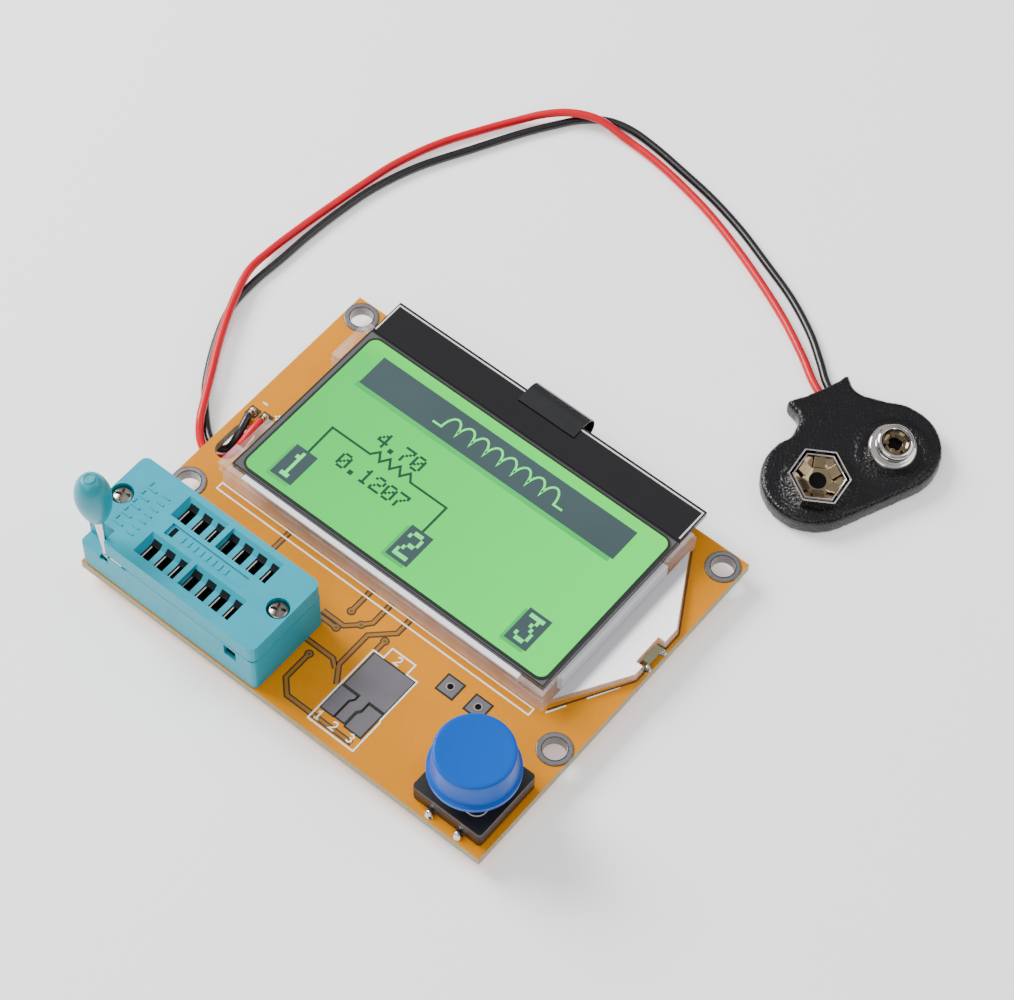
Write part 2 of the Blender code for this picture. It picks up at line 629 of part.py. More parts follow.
# ---------------------------------------------------------------- battery leads and snap
WIRE_LOW = FLOOR + WIRE_RADIUS + 0.02    # h of a lead lying on the surface
RED_OVER = WIRE_LOW + 2 * WIRE_RADIUS + 0.11    # and where the red lead rides on the black
RED_ROUTE = [
    (3.9, 33.8, 0.8), (4.0, 32.4, 0.75), (4.05, 31.0, 0.5), (4.0, 29.5, -0.15),
    (3.75, 28.3, -1.1), (3.1, 27.2, -2.0), (1.9, 26.5, -2.65), (0.3, 26.3, WIRE_LOW),
    (-1.4, 26.75, -2.9), (-3.0, 27.9, -2.4), (-4.5, 29.8, -1.65), (-6.0, 32.3, RED_OVER),
    (-8.4, 36.4, RED_OVER), (-11.8, 42.2, RED_OVER), (-14.8, 48.3, RED_OVER),
    (-16.9, 54.2, RED_OVER), (-17.5, 60.0, -2.6), (-17.1, 66.0, WIRE_LOW),
    (-16.3, 72.0, WIRE_LOW), (-15.3, 78.6, WIRE_LOW), (-14.0, 85.3, WIRE_LOW),
    (-11.5, 92.5, WIRE_LOW), (-7.9, 99.3, WIRE_LOW), (-4.9, 104.0, -2.7), (-2.0, 107.3, -1.9),
    (1.3, 110.0, RED_OVER), (5.4, 111.8, -1.7), (10.4, 112.2, -2.8), (15.7, 111.9, WIRE_LOW),
    (22.1, 110.8, WIRE_LOW), (29.2, 109.0, WIRE_LOW), (36.0, 106.6, WIRE_LOW),
    (43.6, 103.4, WIRE_LOW), (50.4, 100.1, WIRE_LOW), (56.3, 96.6, WIRE_LOW),
    (60.4, 93.8, WIRE_LOW), (64.2, 91.9, WIRE_LOW),
]
BLACK_ROUTE = [
    (1.85, 33.5, 0.8), (2.2, 32.4, 0.75), (2.5, 31.1, 0.35), (2.6, 29.9, -0.5),
    (2.45, 28.95, -1.5), (1.75, 28.3, -2.35), (0.5, 28.0, -2.85), (-1.1, 28.25, WIRE_LOW),
    (-2.9, 29.4, WIRE_LOW), (-4.9, 31.2, WIRE_LOW),
    (-6.8, 33.2, WIRE_LOW), (-9.3, 36.4, WIRE_LOW), (-12.8, 42.4, WIRE_LOW),
    (-15.1, 48.2, WIRE_LOW), (-15.6, 53.8, WIRE_LOW), (-15.3, 60.0, WIRE_LOW),
    (-15.1, 66.0, WIRE_LOW), (-14.5, 72.5, WIRE_LOW), (-13.4, 79.4, WIRE_LOW),
    (-10.9, 87.0, WIRE_LOW), (-6.6, 95.4, WIRE_LOW), (-2.8, 102.6, WIRE_LOW),
    (0.2, 107.4, WIRE_LOW), (2.7, 110.8, WIRE_LOW), (6.0, 113.3, WIRE_LOW),
    (10.0, 114.2, WIRE_LOW), (15.0, 113.9, WIRE_LOW), (21.2, 112.9, WIRE_LOW),
    (28.0, 111.6, WIRE_LOW), (35.0, 109.6, WIRE_LOW), (42.0, 106.9, WIRE_LOW),
    (48.8, 104.1, WIRE_LOW), (54.8, 100.7, WIRE_LOW), (59.1, 97.4, WIRE_LOW),
    (62.1, 94.9, WIRE_LOW), (64.9, 93.4, WIRE_LOW),
]


def lead(name, route, look):
    """An insulated wire as a tube along a smooth path through its route."""
    path = evenly(curve_through([place(*point) for point in route], 12), 3.0 * MM)
    curve = bpy.data.curves.new(name, "CURVE")
    curve.dimensions = "3D"
    curve.bevel_depth = WIRE_RADIUS * MM
    curve.bevel_resolution = 2
    curve.use_fill_caps = True
    spline = curve.splines.new("POLY")
    spline.points.add(len(path) - 1)
    for point, where in zip(spline.points, path):
        point.co = (*where, 1.0)
    curve.materials.append(look)
    made = bpy.data.objects.new(name, curve)
    parts.objects.link(made)


def lead_joint(name, spot):
    """Solder that holds a stripped wire end in its plated hole."""
    bottom = UNDERSIDE - 0.2
    profile = [(0.0, 0.95), (0.3, 0.8), (0.5, 0.4), (0.8, 0.1), (0.38, 0.1), (0.38, bottom),
               (0.0, bottom)]
    turned(f"{name}_joint", profile, SOLDER, place(*spot, 0), steps=16)


def snap_outline(margin):
    """The battery snap's outline about its own centre: two round ends and a neck for the leads.

    Its own X runs from the socket contact to the stud contact, and the neck points along +Y.
    """
    radius = LOBE_RADIUS - margin
    neck_left, neck_right, neck_back = NECK_LEFT + margin, NECK_RIGHT - margin, NECK_BACK - margin
    points = arc((SNAP_SPACING / 2, LOBE_Y), radius, -90, 62, 10)
    points += [(neck_right + 0.2, 11.2 - margin), (neck_right, 13.9 - margin),
               (neck_right - 0.8, neck_back), (neck_left + 0.5, neck_back),
               (neck_left, 13.6 - margin), (neck_left - 0.3, 11.2 - margin)]
    return points + arc((-SNAP_SPACING / 2, LOBE_Y), radius, 82, 270, 12)


def battery_snap():
    turn = Matrix.Rotation(SNAP_TURN, 4, "Z")
    frame = Matrix.Translation(place(SNAP_X, SNAP_Y, FLOOR)) @ turn
    socket_spot, stud_spot = (-SNAP_SPACING / 2, 0), (SNAP_SPACING / 2, 0)

    def snap_plate(name, points, low, high, look=None):
        made = outline_curve(name, points, high - low)
        made.matrix_world = frame @ Matrix.Translation((0, 0, (low + high) / 2 * MM))
        return to_mesh(made, look)

    def circle(spot, radius, sides):
        return arc(spot, radius, 0, 360 - 360 / sides, sides - 1)

    cover = snap_plate("snap_cover", snap_outline(0), 0.0, 3.2, VINYL)
    cut(cover, snap_plate("snap_inside", snap_outline(1.1), -1.0, 2.2))
    cut(cover, snap_plate("socket_hole", circle(socket_spot, 3.9, 24), -1, 5))
    cut(cover, snap_plate("stud_hole", circle(stud_spot, 3.4, 24), -1, 5))
    mouth = [(MOUTH_LEFT, 9), (MOUTH_RIGHT, 9), (MOUTH_RIGHT, 16), (MOUTH_LEFT, 16)]
    cut(cover, snap_plate("neck_mouth", mouth, -1, 2.0))
    ends = rounded_rectangle(-12.8, LOBE_Y - 6.4, 12.8, LOBE_Y + 6.4, 6.3, steps=5)
    snap_plate("snap_board", ends, 0.2, 0.9, FIBRE)

    socket = snap_plate("snap_socket", circle(socket_spot, 3.6, 24), 1.0, 3.5, NICKEL)
    petals = [(x - SNAP_SPACING / 2, y) for x, y in arc((0, 0), HEX_RADIUS, 28, 328, 5)]
    join(socket, snap_plate("socket_petals", petals, 3.35, 6.2))
    cut(socket, snap_plate("socket_mouth", circle(socket_spot, 3.1, 24), 1.6, 9))

    profile = [(1.0, 4.6), (1.35, 6.1), (2.5, 6.1), (2.85, 5.8), (2.6, 4.6), (2.55, 3.9),
               (3.2, 3.6), (3.2, 2.5), (1.4, 2.4), (1.4, 1.0), (1.0, 1.0)]
    turned("snap_stud", profile, NICKEL, frame @ (Vector((*stud_spot, 0)) * MM))


# ---------------------------------------------------------------- build
circuit_board()
for hole_name, hole_spot in HOLES.items():
    mounting_ring(hole_name, hole_spot)
socket_base()
socket_cover()
socket_slider()
contacts()
for screw_side, screw_x in zip(("left", "right"), SCREWS_X):
    socket_screw(screw_side, screw_x)
lever()
lever_link()
light_guide()
reflector_film()
display_glass()
display_cable()
backlight_lamp()
push_button()
underside_parts()
for lead_name, pad_spot in LEAD_PADS.items():
    lead_joint(lead_name, pad_spot)
lead("red_lead", RED_ROUTE, RED_PVC)
lead("black_lead", BLACK_ROUTE, BLACK_PVC)
battery_snap()
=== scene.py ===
"""Looks of the component tester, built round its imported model.

Places are given as on the real board, in millimetres: x to the right of its left edge, y back
from its front edge, and h above its top face. Places on the battery snap are given about the
snap's own centre, x from its socket to its stud and y towards the leads.
"""

import json
from math import cos, pi, radians, sin, tau

import bmesh
import bpy
from mathutils import Matrix, Vector, noise


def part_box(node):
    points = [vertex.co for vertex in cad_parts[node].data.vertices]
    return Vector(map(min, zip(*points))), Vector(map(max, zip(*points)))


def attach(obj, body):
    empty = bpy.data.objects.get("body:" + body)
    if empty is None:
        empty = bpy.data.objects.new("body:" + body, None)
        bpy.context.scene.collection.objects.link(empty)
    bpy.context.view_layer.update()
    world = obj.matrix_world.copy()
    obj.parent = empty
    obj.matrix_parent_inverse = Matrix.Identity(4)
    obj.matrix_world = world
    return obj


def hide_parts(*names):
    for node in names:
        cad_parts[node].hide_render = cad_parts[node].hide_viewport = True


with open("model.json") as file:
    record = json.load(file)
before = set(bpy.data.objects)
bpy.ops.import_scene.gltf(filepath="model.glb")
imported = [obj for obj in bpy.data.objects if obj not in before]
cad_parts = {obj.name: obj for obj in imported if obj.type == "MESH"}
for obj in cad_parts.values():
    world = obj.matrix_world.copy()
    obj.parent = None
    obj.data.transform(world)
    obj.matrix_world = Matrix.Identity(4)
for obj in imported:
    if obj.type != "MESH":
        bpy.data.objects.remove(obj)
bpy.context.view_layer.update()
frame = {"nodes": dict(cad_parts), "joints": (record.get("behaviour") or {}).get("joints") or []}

MM = 0.001
BOARD_LOW, BOARD_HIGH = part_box("circuit_board")
UNDERSIDE = (BOARD_LOW.z - BOARD_HIGH.z) / MM
JOINTS = {joint["name"]: joint for joint in frame["joints"]}


def at(x, y, h):
    """World position of a point given on the board."""
    return Vector((BOARD_LOW.x + x * MM, BOARD_LOW.y + y * MM, BOARD_HIGH.z + h * MM))


def add_object(name, data):
    made = bpy.data.objects.new(name, data)
    bpy.context.scene.collection.objects.link(made)
    return made


FLOOR = -BOARD_HIGH.z / MM               # h of the surface that the board stands on
PITCH = 2.54                             # of the test socket's leads
PINS_X = [10.42 + PITCH * i for i in range(7)]
ROWS_Y = (3.83, 11.45)
SLOT_LEFT = 10.2
SLOT_WIDTH = 1.54
SOCKET_TOP = 10.5


# -------- camera, light and floor
CAMERA_PLACE = (0.1497, -0.1746, 0.3801)
CAMERA_TURN = (32.511, -1.101, 39.319)   # degrees about X, Y and Z
CAMERA_LENS = 109.96


def camera():
    made = bpy.data.cameras.new("camera")
    made.lens = CAMERA_LENS
    made.clip_start = 0.01
    viewer = add_object("camera", made)
    viewer.location = CAMERA_PLACE
    viewer.rotation_euler = [radians(angle) for angle in CAMERA_TURN]
    bpy.context.scene.camera = viewer


def soft_light(name, place, width, power):
    """A square light that points at the middle of the scene."""
    light = bpy.data.lights.new(name, "AREA")
    light.size = width
    light.energy = power
    lamp = add_object(name, light)
    lamp.location = place
    lamp.rotation_euler = (-Vector(place)).to_track_quat("-Z", "Y").to_euler()


def studio():
    soft_light("key_light", (-0.60, -0.02, 0.50), 0.40, 10.5)
    soft_light("fill_light", (0.50, 0.35, 0.50), 0.50, 1.6)
    soft_light("front_light", (0.10, -0.60, 0.55), 0.50, 2.0)
    world = bpy.data.worlds.new("studio")
    world.use_nodes = True
    tree = world.node_tree
    _, _, up = split(tree, node(tree, "ShaderNodeTexCoord").outputs["Generated"])
    sky = mixed(tree, ramp(tree, up, 0.15, 0.75), (0.10, 0.10, 0.11), (0.98, 0.99, 1.0))
    feed(tree, tree.nodes["Background"], {"Color": sky, "Strength": 0.75})
    bpy.context.scene.world = world


# -------- materials
def shader_of(look):
    return look.node_tree.nodes["Principled BSDF"]


def feed(tree, made, inputs):
    """Links outputs into a node's inputs, or sets the inputs' own values."""
    for name, value in inputs.items():
        socket = made.inputs[name]
        if isinstance(value, bpy.types.NodeSocket):
            tree.links.new(value, socket)
        elif socket.type == "RGBA":
            socket.default_value = (*value, 1.0)
        else:
            socket.default_value = value


def node(tree, kind, inputs=None, **settings):
    made = tree.nodes.new(kind)
    for name, value in settings.items():
        setattr(made, name, value)
    feed(tree, made, inputs or {})
    return made


def object_place(tree):
    """The shaded point in metres."""
    return node(tree, "ShaderNodeTexCoord").outputs["Object"]


def split(tree, vector):
    """The x, y and z of a vector, as three outputs."""
    return node(tree, "ShaderNodeSeparateXYZ", {"Vector": vector}).outputs


def noise_node(tree, place, scale, detail=3.0):
    inputs = {"Vector": place, "Scale": scale, "Detail": detail}
    return node(tree, "ShaderNodeTexNoise", inputs).outputs["Fac"]


def mixed(tree, share, first, second):
    """A colour between two, each a colour or an output, by a share from 0 to 1."""
    inputs = {"Factor": share, 6: first, 7: second}
    return node(tree, "ShaderNodeMix", inputs, data_type="RGBA").outputs[2]


def ramp(tree, value, low, high, out_low=0.0, out_high=1.0):
    """A value remapped from one range to another, and kept inside the second."""
    inputs = {"Value": value, "From Min": low, "From Max": high,
              "To Min": out_low, "To Max": out_high}
    return node(tree, "ShaderNodeMapRange", inputs).outputs["Result"]


def maths(tree, operation, first, second):
    made = node(tree, "ShaderNodeMath", {0: first, 1: second}, operation=operation)
    return made.outputs["Value"]


def relief(look, height, strength, distance):
    """Gives a material its bump."""
    tree = look.node_tree
    inputs = {"Height": height, "Strength": strength, "Distance": distance}
    bump = node(tree, "ShaderNodeBump", inputs)
    feed(tree, shader_of(look), {"Normal": bump.outputs["Normal"]})


def glow(look, colour, strength):
    feed(look.node_tree, shader_of(look), {"Emission Color": colour, "Emission Strength": strength})


LOOKS = {}                               # every material made here, by its name


def surface(name, colour, roughness, metallic=0.0, mottle=0.06, grain=1500.0, bump=0.12, coat=0.0,
            specular=0.5, stretch=None):
    """A material with a little colour variation, uneven gloss and a fine grain."""
    look = bpy.data.materials.new(name)
    look.use_nodes = True
    tree = look.node_tree
    place = object_place(tree)
    if stretch:
        inputs = {"Vector": place, "Scale": stretch}
        place = node(tree, "ShaderNodeMapping", inputs).outputs["Vector"]
    patches = noise_node(tree, place, grain * 0.12)
    specks = noise_node(tree, place, grain, detail=5.0)
    darker = [channel * (1 - mottle) for channel in colour]
    lighter = [min(1.0, channel * (1 + mottle)) for channel in colour]
    feed(tree, shader_of(look), {
        "Base Color": mixed(tree, ramp(tree, patches, 0.3, 0.7), darker, lighter),
        "Roughness": ramp(tree, specks, 0.3, 0.7, roughness * 0.85, min(1.0, roughness * 1.15)),
        "Metallic": metallic,
        "Coat Weight": coat,
        "Coat Roughness": 0.08,
        "Specular IOR Level": specular,
    })
    relief(look, specks, bump, 0.00003)
    LOOKS[name] = look
    return look


def base_colour(look):
    """The output that feeds a material's base colour now."""
    return shader_of(look).inputs["Base Color"].links[0].from_socket


def rebase(look, colour):
    feed(look.node_tree, shader_of(look), {"Base Color": colour})


def between(tree, share, value, least, most):
    """A share kept where a value lies between two limits, and 0 elsewhere."""
    share = maths(tree, "MULTIPLY", share, maths(tree, "GREATER_THAN", value, least))
    return maths(tree, "MULTIPLY", share, maths(tree, "LESS_THAN", value, most))


def facing_up(tree):
    """1 on faces that look up or down, 0 on upright ones."""
    _, _, up = split(tree, node(tree, "ShaderNodeNewGeometry").outputs["True Normal"])
    return maths(tree, "GREATER_THAN", maths(tree, "ABSOLUTE", up, 0.0), 0.7)


def solder_mask():
    """Satin orange mask over a faint weave, with bare fibreglass on the cut edges."""
    look = surface("solder_mask", (0.64, 0.228, 0.0003), 0.40, mottle=0.06, grain=900.0, bump=0.10,
                   specular=0.16)
    tree = look.node_tree
    place = object_place(tree)
    weave = node(tree, "ShaderNodeTexChecker", {"Vector": place, "Scale": 1400.0}).outputs["Fac"]
    mask = mixed(tree, maths(tree, "MULTIPLY", weave, 0.05), base_colour(look),
                 (0.44, 0.14, 0.0005))
    edge = mixed(tree, noise_node(tree, place, 2500.0), (0.20, 0.19, 0.11), (0.40, 0.38, 0.24))
    rebase(look, mixed(tree, facing_up(tree), edge, mask))


def socket_plastic():
    """Turquoise plastic, with painted shade that turns it near black down in the lead slots and low
    inside the socket.
    """
    look = surface("turquoise", (0.0006, 0.325, 0.43), 0.45, mottle=0.04, grain=2600.0,
                   bump=0.10, specular=0.3)
    tree = look.node_tree
    x, y, z = split(tree, object_place(tree))
    low, high = at(SLOT_LEFT - 0.02, 1.7, 0.0), at(SLOT_LEFT + 6.9 * PITCH, 13.6, 9.15)
    along = maths(tree, "MODULO", maths(tree, "SUBTRACT", x, low.x), PITCH * MM)
    inside = maths(tree, "LESS_THAN", z, high.z)
    for row in ROWS_Y:
        slot = maths(tree, "LESS_THAN", along, (SLOT_WIDTH + 0.04) * MM)
        slot = maths(tree, "MULTIPLY", slot, maths(tree, "LESS_THAN", z, at(0, 0, 9.95).z))
        slot = between(tree, slot, y, at(0, row - 2.0, 0).y, at(0, row + 1.5, 0).y)
        inside = maths(tree, "MAXIMUM", inside, slot)
    inside = between(tree, inside, x, low.x, high.x)
    inside = between(tree, inside, y, low.y, high.y)
    # Painted shade: near black in the slots and below the cover's top inside the socket.
    rebase(look, mixed(tree, inside, base_colour(look), (0.004, 0.006, 0.007)))


def window_green():
    """The lit display: yellower towards the lamp's side and a little cloudy."""
    look = surface("green", (0.012, 0.62, 0.07), 0.22, mottle=0.05, grain=500.0, bump=0.02,
                   coat=0.6)
    tree = look.node_tree
    place = object_place(tree)
    x, y, _ = split(tree, place)
    low, high = at(8.7, 24.9, 0), at(63.9, 53.8, 0)
    across = ramp(tree, x, low.x, high.x)
    shade = mixed(tree, across, (0.006, 0.52, 0.050), (0.012, 0.80, 0.062))
    back = maths(tree, "MULTIPLY", ramp(tree, y, at(0, 50, 0).y, high.y), 0.6)
    shade = mixed(tree, back, shade, (0.05, 0.78, 0.04))
    cloud = noise_node(tree, place, 60.0)
    shade = mixed(tree, ramp(tree, cloud, 0.35, 0.75, 0.0, 0.3), shade, (0.012, 0.66, 0.075))
    rebase(look, shade)
    glow(look, shade, 0.25)


def wedge_film():
    """White film with the soft grey shadow that the display throws on it painted in, and a painted
    glow for the backlight that shines through it.
    """
    look = surface("wedge_film", (0.93, 0.93, 0.96), 0.35, mottle=0.02, grain=900.0, bump=0.03,
                   coat=0.3)
    tree = look.node_tree
    x, _, _ = split(tree, object_place(tree))
    near = ramp(tree, x, at(67.2, 0, 0).x, at(68.3, 0, 0).x)
    shade = mixed(tree, near, (0.30, 0.30, 0.32), base_colour(look))
    rebase(look, shade)
    # Painted light: the film glows in its own colour, standing in for the backlight shining through
    # it.
    glow(look, shade, 0.75)


def clear_plastic():
    """Clear acrylic, whose walls show what lies behind them."""
    look = surface("light_guide", (0.88, 0.86, 0.88), 0.12, mottle=0.05, grain=700.0, bump=0.04,
                   coat=0.6)
    tree = look.node_tree
    streaks = noise_node(tree, object_place(tree), 260.0)
    feed(tree, shader_of(look), {"Alpha": ramp(tree, streaks, 0.3, 0.7, 0.10, 0.26)})


def brushed(name, colour, roughness):
    """Drawn metal with fine streaks along its length."""
    surface(name, colour, roughness, metallic=1.0, mottle=0.10, grain=1500.0, bump=0.20,
            stretch=(1.0, 1.0, 0.08))


def leather():
    """Soft black vinyl with a pebbled grain."""
    look = surface("vinyl", (0.0012, 0.0012, 0.0020), 0.28, mottle=0.25, grain=1800.0, bump=0.1,
                   specular=0.36)
    tree = look.node_tree
    cells = node(tree, "ShaderNodeTexVoronoi", {"Vector": object_place(tree), "Scale": 1700.0},
                 feature="DISTANCE_TO_EDGE")
    relief(look, ramp(tree, cells.outputs["Distance"], 0.0, 0.35), 0.5, 0.00009)


def pale_floor():
    """A matt white table that glows a little, as a light table does."""
    look = surface("floor", (0.92, 0.92, 0.92), 0.6, mottle=0.005, grain=60.0, bump=0.0)
    glow(look, (1.0, 1.0, 1.0), 0.4)


solder_mask()
# Dark olive for the track edges, lead pads and ring outlines, and for the painted shadow along the
# foot of the light guide's wedge.
surface("olive_line_and_painted_shadow", (0.036, 0.026, 0.003), 0.35, grain=1200.0, coat=0.3)
surface("track_top", (0.34, 0.120, 0.001), 0.35, grain=1200.0, coat=0.3)
surface("via", (0.085, 0.075, 0.012), 0.35, grain=1200.0, coat=0.3)
surface("silkscreen", (0.95, 0.93, 0.88), 0.5, mottle=0.05, grain=3000.0)
surface("pad_metal", (0.14, 0.13, 0.145), 0.45, metallic=0.4, mottle=0.08, grain=2500.0)
surface("ring_metal", (0.26, 0.25, 0.27), 0.30, metallic=0.9, mottle=0.10, grain=1200.0,
        bump=0.03)
socket_plastic()
surface("knob", (0.001, 0.27, 0.34), 0.36, mottle=0.04, grain=900.0, bump=0.02, coat=0.1)
# Near black: painted shade in holes, in the latch window and on the socket's slider, and the dark
# mark at pin one.
surface("painted_shade_and_mark_black", (0.002, 0.002, 0.0025), 0.7, grain=1500.0, specular=0.1)
brushed("steel", (0.60, 0.57, 0.54), 0.26)
surface("screw_steel", (0.36, 0.32, 0.29), 0.17, metallic=1.0, mottle=0.45, grain=1500.0,
        bump=0.3)
brushed("contact", (0.92, 0.89, 0.84), 0.24)
surface("bronze", (0.24, 0.18, 0.11), 0.10, metallic=1.0, mottle=0.5, grain=900.0, bump=0.3)
surface("nickel", (0.60, 0.57, 0.55), 0.11, metallic=1.0, mottle=0.25, grain=1200.0, bump=0.06)
surface("solder", (0.55, 0.54, 0.53), 0.14, metallic=1.0, mottle=0.45, grain=900.0, bump=0.25)
clear_plastic()
surface("white_frame", (0.88, 0.88, 0.92), 0.30, mottle=0.02, grain=900.0, bump=0.03)
wedge_film()
surface("glass_edge", (0.05, 0.048, 0.05), 0.10, mottle=0.10, grain=400.0, bump=0.02, coat=1.0)
surface("glass_band", (0.075, 0.072, 0.078), 0.12, mottle=0.06, grain=400.0, bump=0.02,
        coat=1.0)
surface("dark_line", (0.006, 0.010, 0.007), 0.25, grain=900.0, coat=0.4)
window_green()
surface("segment", (0.034, 0.066, 0.070), 0.22, mottle=0.22, grain=160.0, bump=0.02, coat=0.35)
surface("shade", (0.012, 0.47, 0.068), 0.22, mottle=0.10, grain=700.0, bump=0.02, coat=0.5)
surface("stroke", (0.005, 0.045, 0.024), 0.22, mottle=0.10, grain=700.0, bump=0.02, coat=0.5)
surface("light_stroke", (0.06, 0.95, 0.17), 0.22, mottle=0.05, grain=700.0, bump=0.02,
        coat=0.5)
surface("tape", (0.0065, 0.006, 0.008), 0.22, mottle=0.15, grain=250.0, bump=0.03, coat=0.25,
        specular=0.3)
# Pale grey for the bright line along the display's ledge, and for the painted highlight round the
# switch frame.
surface("pale_edge_and_painted_highlight", (0.66, 0.64, 0.64), 0.15, mottle=0.10, grain=400.0, bump=0.02, coat=0.8)
surface("cable", (0.005, 0.005, 0.007), 0.30, mottle=0.20, grain=500.0, bump=0.05, coat=0.2)
surface("black_plastic", (0.012, 0.011, 0.011), 0.36, mottle=0.15, grain=2600.0, bump=0.2)
surface("blue", (0.0004, 0.078, 0.43), 0.34, mottle=0.02, grain=700.0, bump=0.008, coat=0.06,
        specular=0.15)
surface("chip", (0.02, 0.02, 0.021), 0.5, mottle=0.15, grain=3200.0, bump=0.3)
surface("ceramic", (0.35, 0.16, 0.05), 0.4, mottle=0.12, grain=1600.0)
surface("tantalum", (0.72, 0.36, 0.03), 0.42, mottle=0.08, grain=2000.0)
surface("lamp", (0.12, 0.115, 0.06), 0.10, mottle=0.04, grain=900.0, bump=0.03, coat=0.8)
surface("red_wire", (0.58, 0.001, 0.012), 0.34, mottle=0.08, grain=1500.0, bump=0.08, coat=0.08,
        specular=0.3)
surface("black_wire", (0.004, 0.004, 0.005), 0.30, mottle=0.2, grain=1500.0, bump=0.08,
        coat=0.1)
leather()
pale_floor()


# -------- shape helpers
def paint(made, look):
    made.data.materials.clear()
    made.data.materials.append(LOOKS[look])


def place_piece(name, data, look, body="board"):
    made = add_object(name, data)
    paint(made, look)
    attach(made, body)
    return made


def mesh_from(shape, name):
    """A mesh from a bmesh, which is freed."""
    mesh = bpy.data.meshes.new(name)
    shape.to_mesh(mesh)
    shape.free()
    return mesh


def settled_mesh(made):
    """The mesh of an object with its modifiers applied."""
    bpy.context.view_layer.update()
    shown = made.evaluated_get(bpy.context.evaluated_depsgraph_get())
    return bpy.data.meshes.new_from_object(shown)


def piece(name, shape, look, body="board", smooth=None, edge=None):
    """A finished object from a bmesh; smooth is in degrees, and edge is its rounding in mm."""
    bmesh.ops.recalc_face_normals(shape, faces=shape.faces)
    mesh = mesh_from(shape, name)
    if smooth is not None:
        mesh.shade_smooth()
        mesh.set_sharp_from_angle(angle=radians(smooth))
    made = place_piece(name, mesh, look, body)
    if edge:
        round_edges(made, edge)
    return made


def prism(shape, outline, low, high, to_world=at):
    """Adds a closed prism over a flat outline."""
    bottom = [shape.verts.new(to_world(x, y, low)) for x, y in outline]
    top = [shape.verts.new(to_world(x, y, high)) for x, y in outline]
    shape.faces.new(bottom[::-1])
    shape.faces.new(top)
    for i, corner in enumerate(bottom):
        after = (i + 1) % len(bottom)
        shape.faces.new((corner, bottom[after], top[after], top[i]))


def brick(shape, low, high):
    outline = [(low[0], low[1]), (high[0], low[1]), (high[0], high[1]), (low[0], high[1])]
    prism(shape, outline, low[2], high[2])


def bricks(name, corners, look, edge=None):
    """A piece made of upright blocks, each given by its low and its high corner."""
    shape = bmesh.new()
    for low, high in corners:
        brick(shape, low, high)
    return piece(name, shape, look, edge=edge)


def ribbon(shape, points, width, low, high, closed=False):
    """Adds a flat strip of even width along a line, with mitred corners."""
    line = [Vector(point) for point in points]
    count = len(line)
    sides = ([], [])
    for i, point in enumerate(line):
        before = line[i - 1] if closed or i else None
        after = line[(i + 1) % count] if closed or i < count - 1 else None
        leaving = (after - point).normalized() if after is not None else None
        coming = (point - before).normalized() if before is not None else leaving
        leaving = coming if leaving is None else leaving
        along = (coming + leaving).normalized()
        across = Vector((-along.y, along.x))
        reach = width / 2 / max(0.4, across.dot(Vector((-coming.y, coming.x))))
        sides[0].append(point + across * reach)
        sides[1].append(point - across * reach)
    rings = []
    for left, right in zip(*sides):
        rings.append([shape.verts.new(at(p.x, p.y, h))
                      for p, h in ((left, high), (right, high), (right, low), (left, low))])
    pairs = list(zip(rings, rings[1:]))
    if closed:
        pairs.append((rings[-1], rings[0]))
    for a, b in pairs:
        for k in range(4):
            shape.faces.new((a[k], a[(k + 1) % 4], b[(k + 1) % 4], b[k]))
    if not closed:
        shape.faces.new(rings[0])
        shape.faces.new(rings[-1][::-1])


def circle(x, y, radius, sides):
    return [(x + radius * cos(tau * i / sides), y + radius * sin(tau * i / sides))
            for i in range(sides)]


def arc(x, y, radius, start, end, steps):
    turns = [radians(start + (end - start) * i / steps) for i in range(steps + 1)]
    return [(x + radius * cos(turn), y + radius * sin(turn)) for turn in turns]


def rounded_rectangle(left, front, right, back, radius, steps=6):
    points = arc(right - radius, back - radius, radius, 0, 90, steps)
    points += arc(left + radius, back - radius, radius, 90, 180, steps)
    points += arc(left + radius, front + radius, radius, 180, 270, steps)
    return points + arc(right - radius, front + radius, radius, 270, 360, steps)


def lathe(shape, profile, middle, sides=48, tilt=None):
    """Adds a body of revolution; the profile is (radius, height) in millimetres, top to bottom.

    A profile that starts or ends off the axis is closed on itself, as a ring is.
    """
    tilt = tilt or Matrix.Identity(3)
    rings = []
    for radius, height in profile:
        if radius == 0:
            rings.append([shape.verts.new(middle + tilt @ Vector((0, 0, height * MM)))])
            continue
        rings.append([shape.verts.new(middle + tilt @ Vector((radius * MM * cos(tau * i / sides),
                                                              radius * MM * sin(tau * i / sides),
                                                              height * MM)))
                      for i in range(sides)])
    pairs = list(zip(rings, rings[1:]))
    if profile[0][0] > 0 and profile[-1][0] > 0:
        pairs.append((rings[-1], rings[0]))
    for a, b in pairs:
        for i in range(sides):
            corners = [a[i % len(a)], a[(i + 1) % sides % len(a)],
                       b[(i + 1) % sides % len(b)], b[i % len(b)]]
            kept = [v for k, v in enumerate(corners) if v not in corners[:k]]
            shape.faces.new(kept)


def curve_through(points, per_span):
    """A smooth path through every given point."""
    path = []
    last = len(points) - 1
    for i in range(last):
        a, b = points[max(i - 1, 0)], points[i]
        c, d = points[i + 1], points[min(i + 2, last)]
        for step in range(per_span):
            t = step / per_span
            path.append(b + (c - a) * (t / 2) + (a * 2 - b * 5 + c * 4 - d) * (t * t / 2)
                        + (b * 3 - a - c * 3 + d) * (t ** 3 / 2))
    path.append(points[-1])
    return path


def smooth_profile(points, steps):
    """A rounder profile through the same points."""
    path = curve_through([Vector(point) for point in points], steps)
    return [(max(0.0, point.x), point.y) for point in path]


def block(shape, place, size):
    """Adds a block of a size in millimetres, placed and turned by a matrix."""
    matrix = place @ Matrix.Diagonal((*(Vector(size) * MM), 1.0))
    bmesh.ops.create_cube(shape, size=1.0, matrix=matrix)


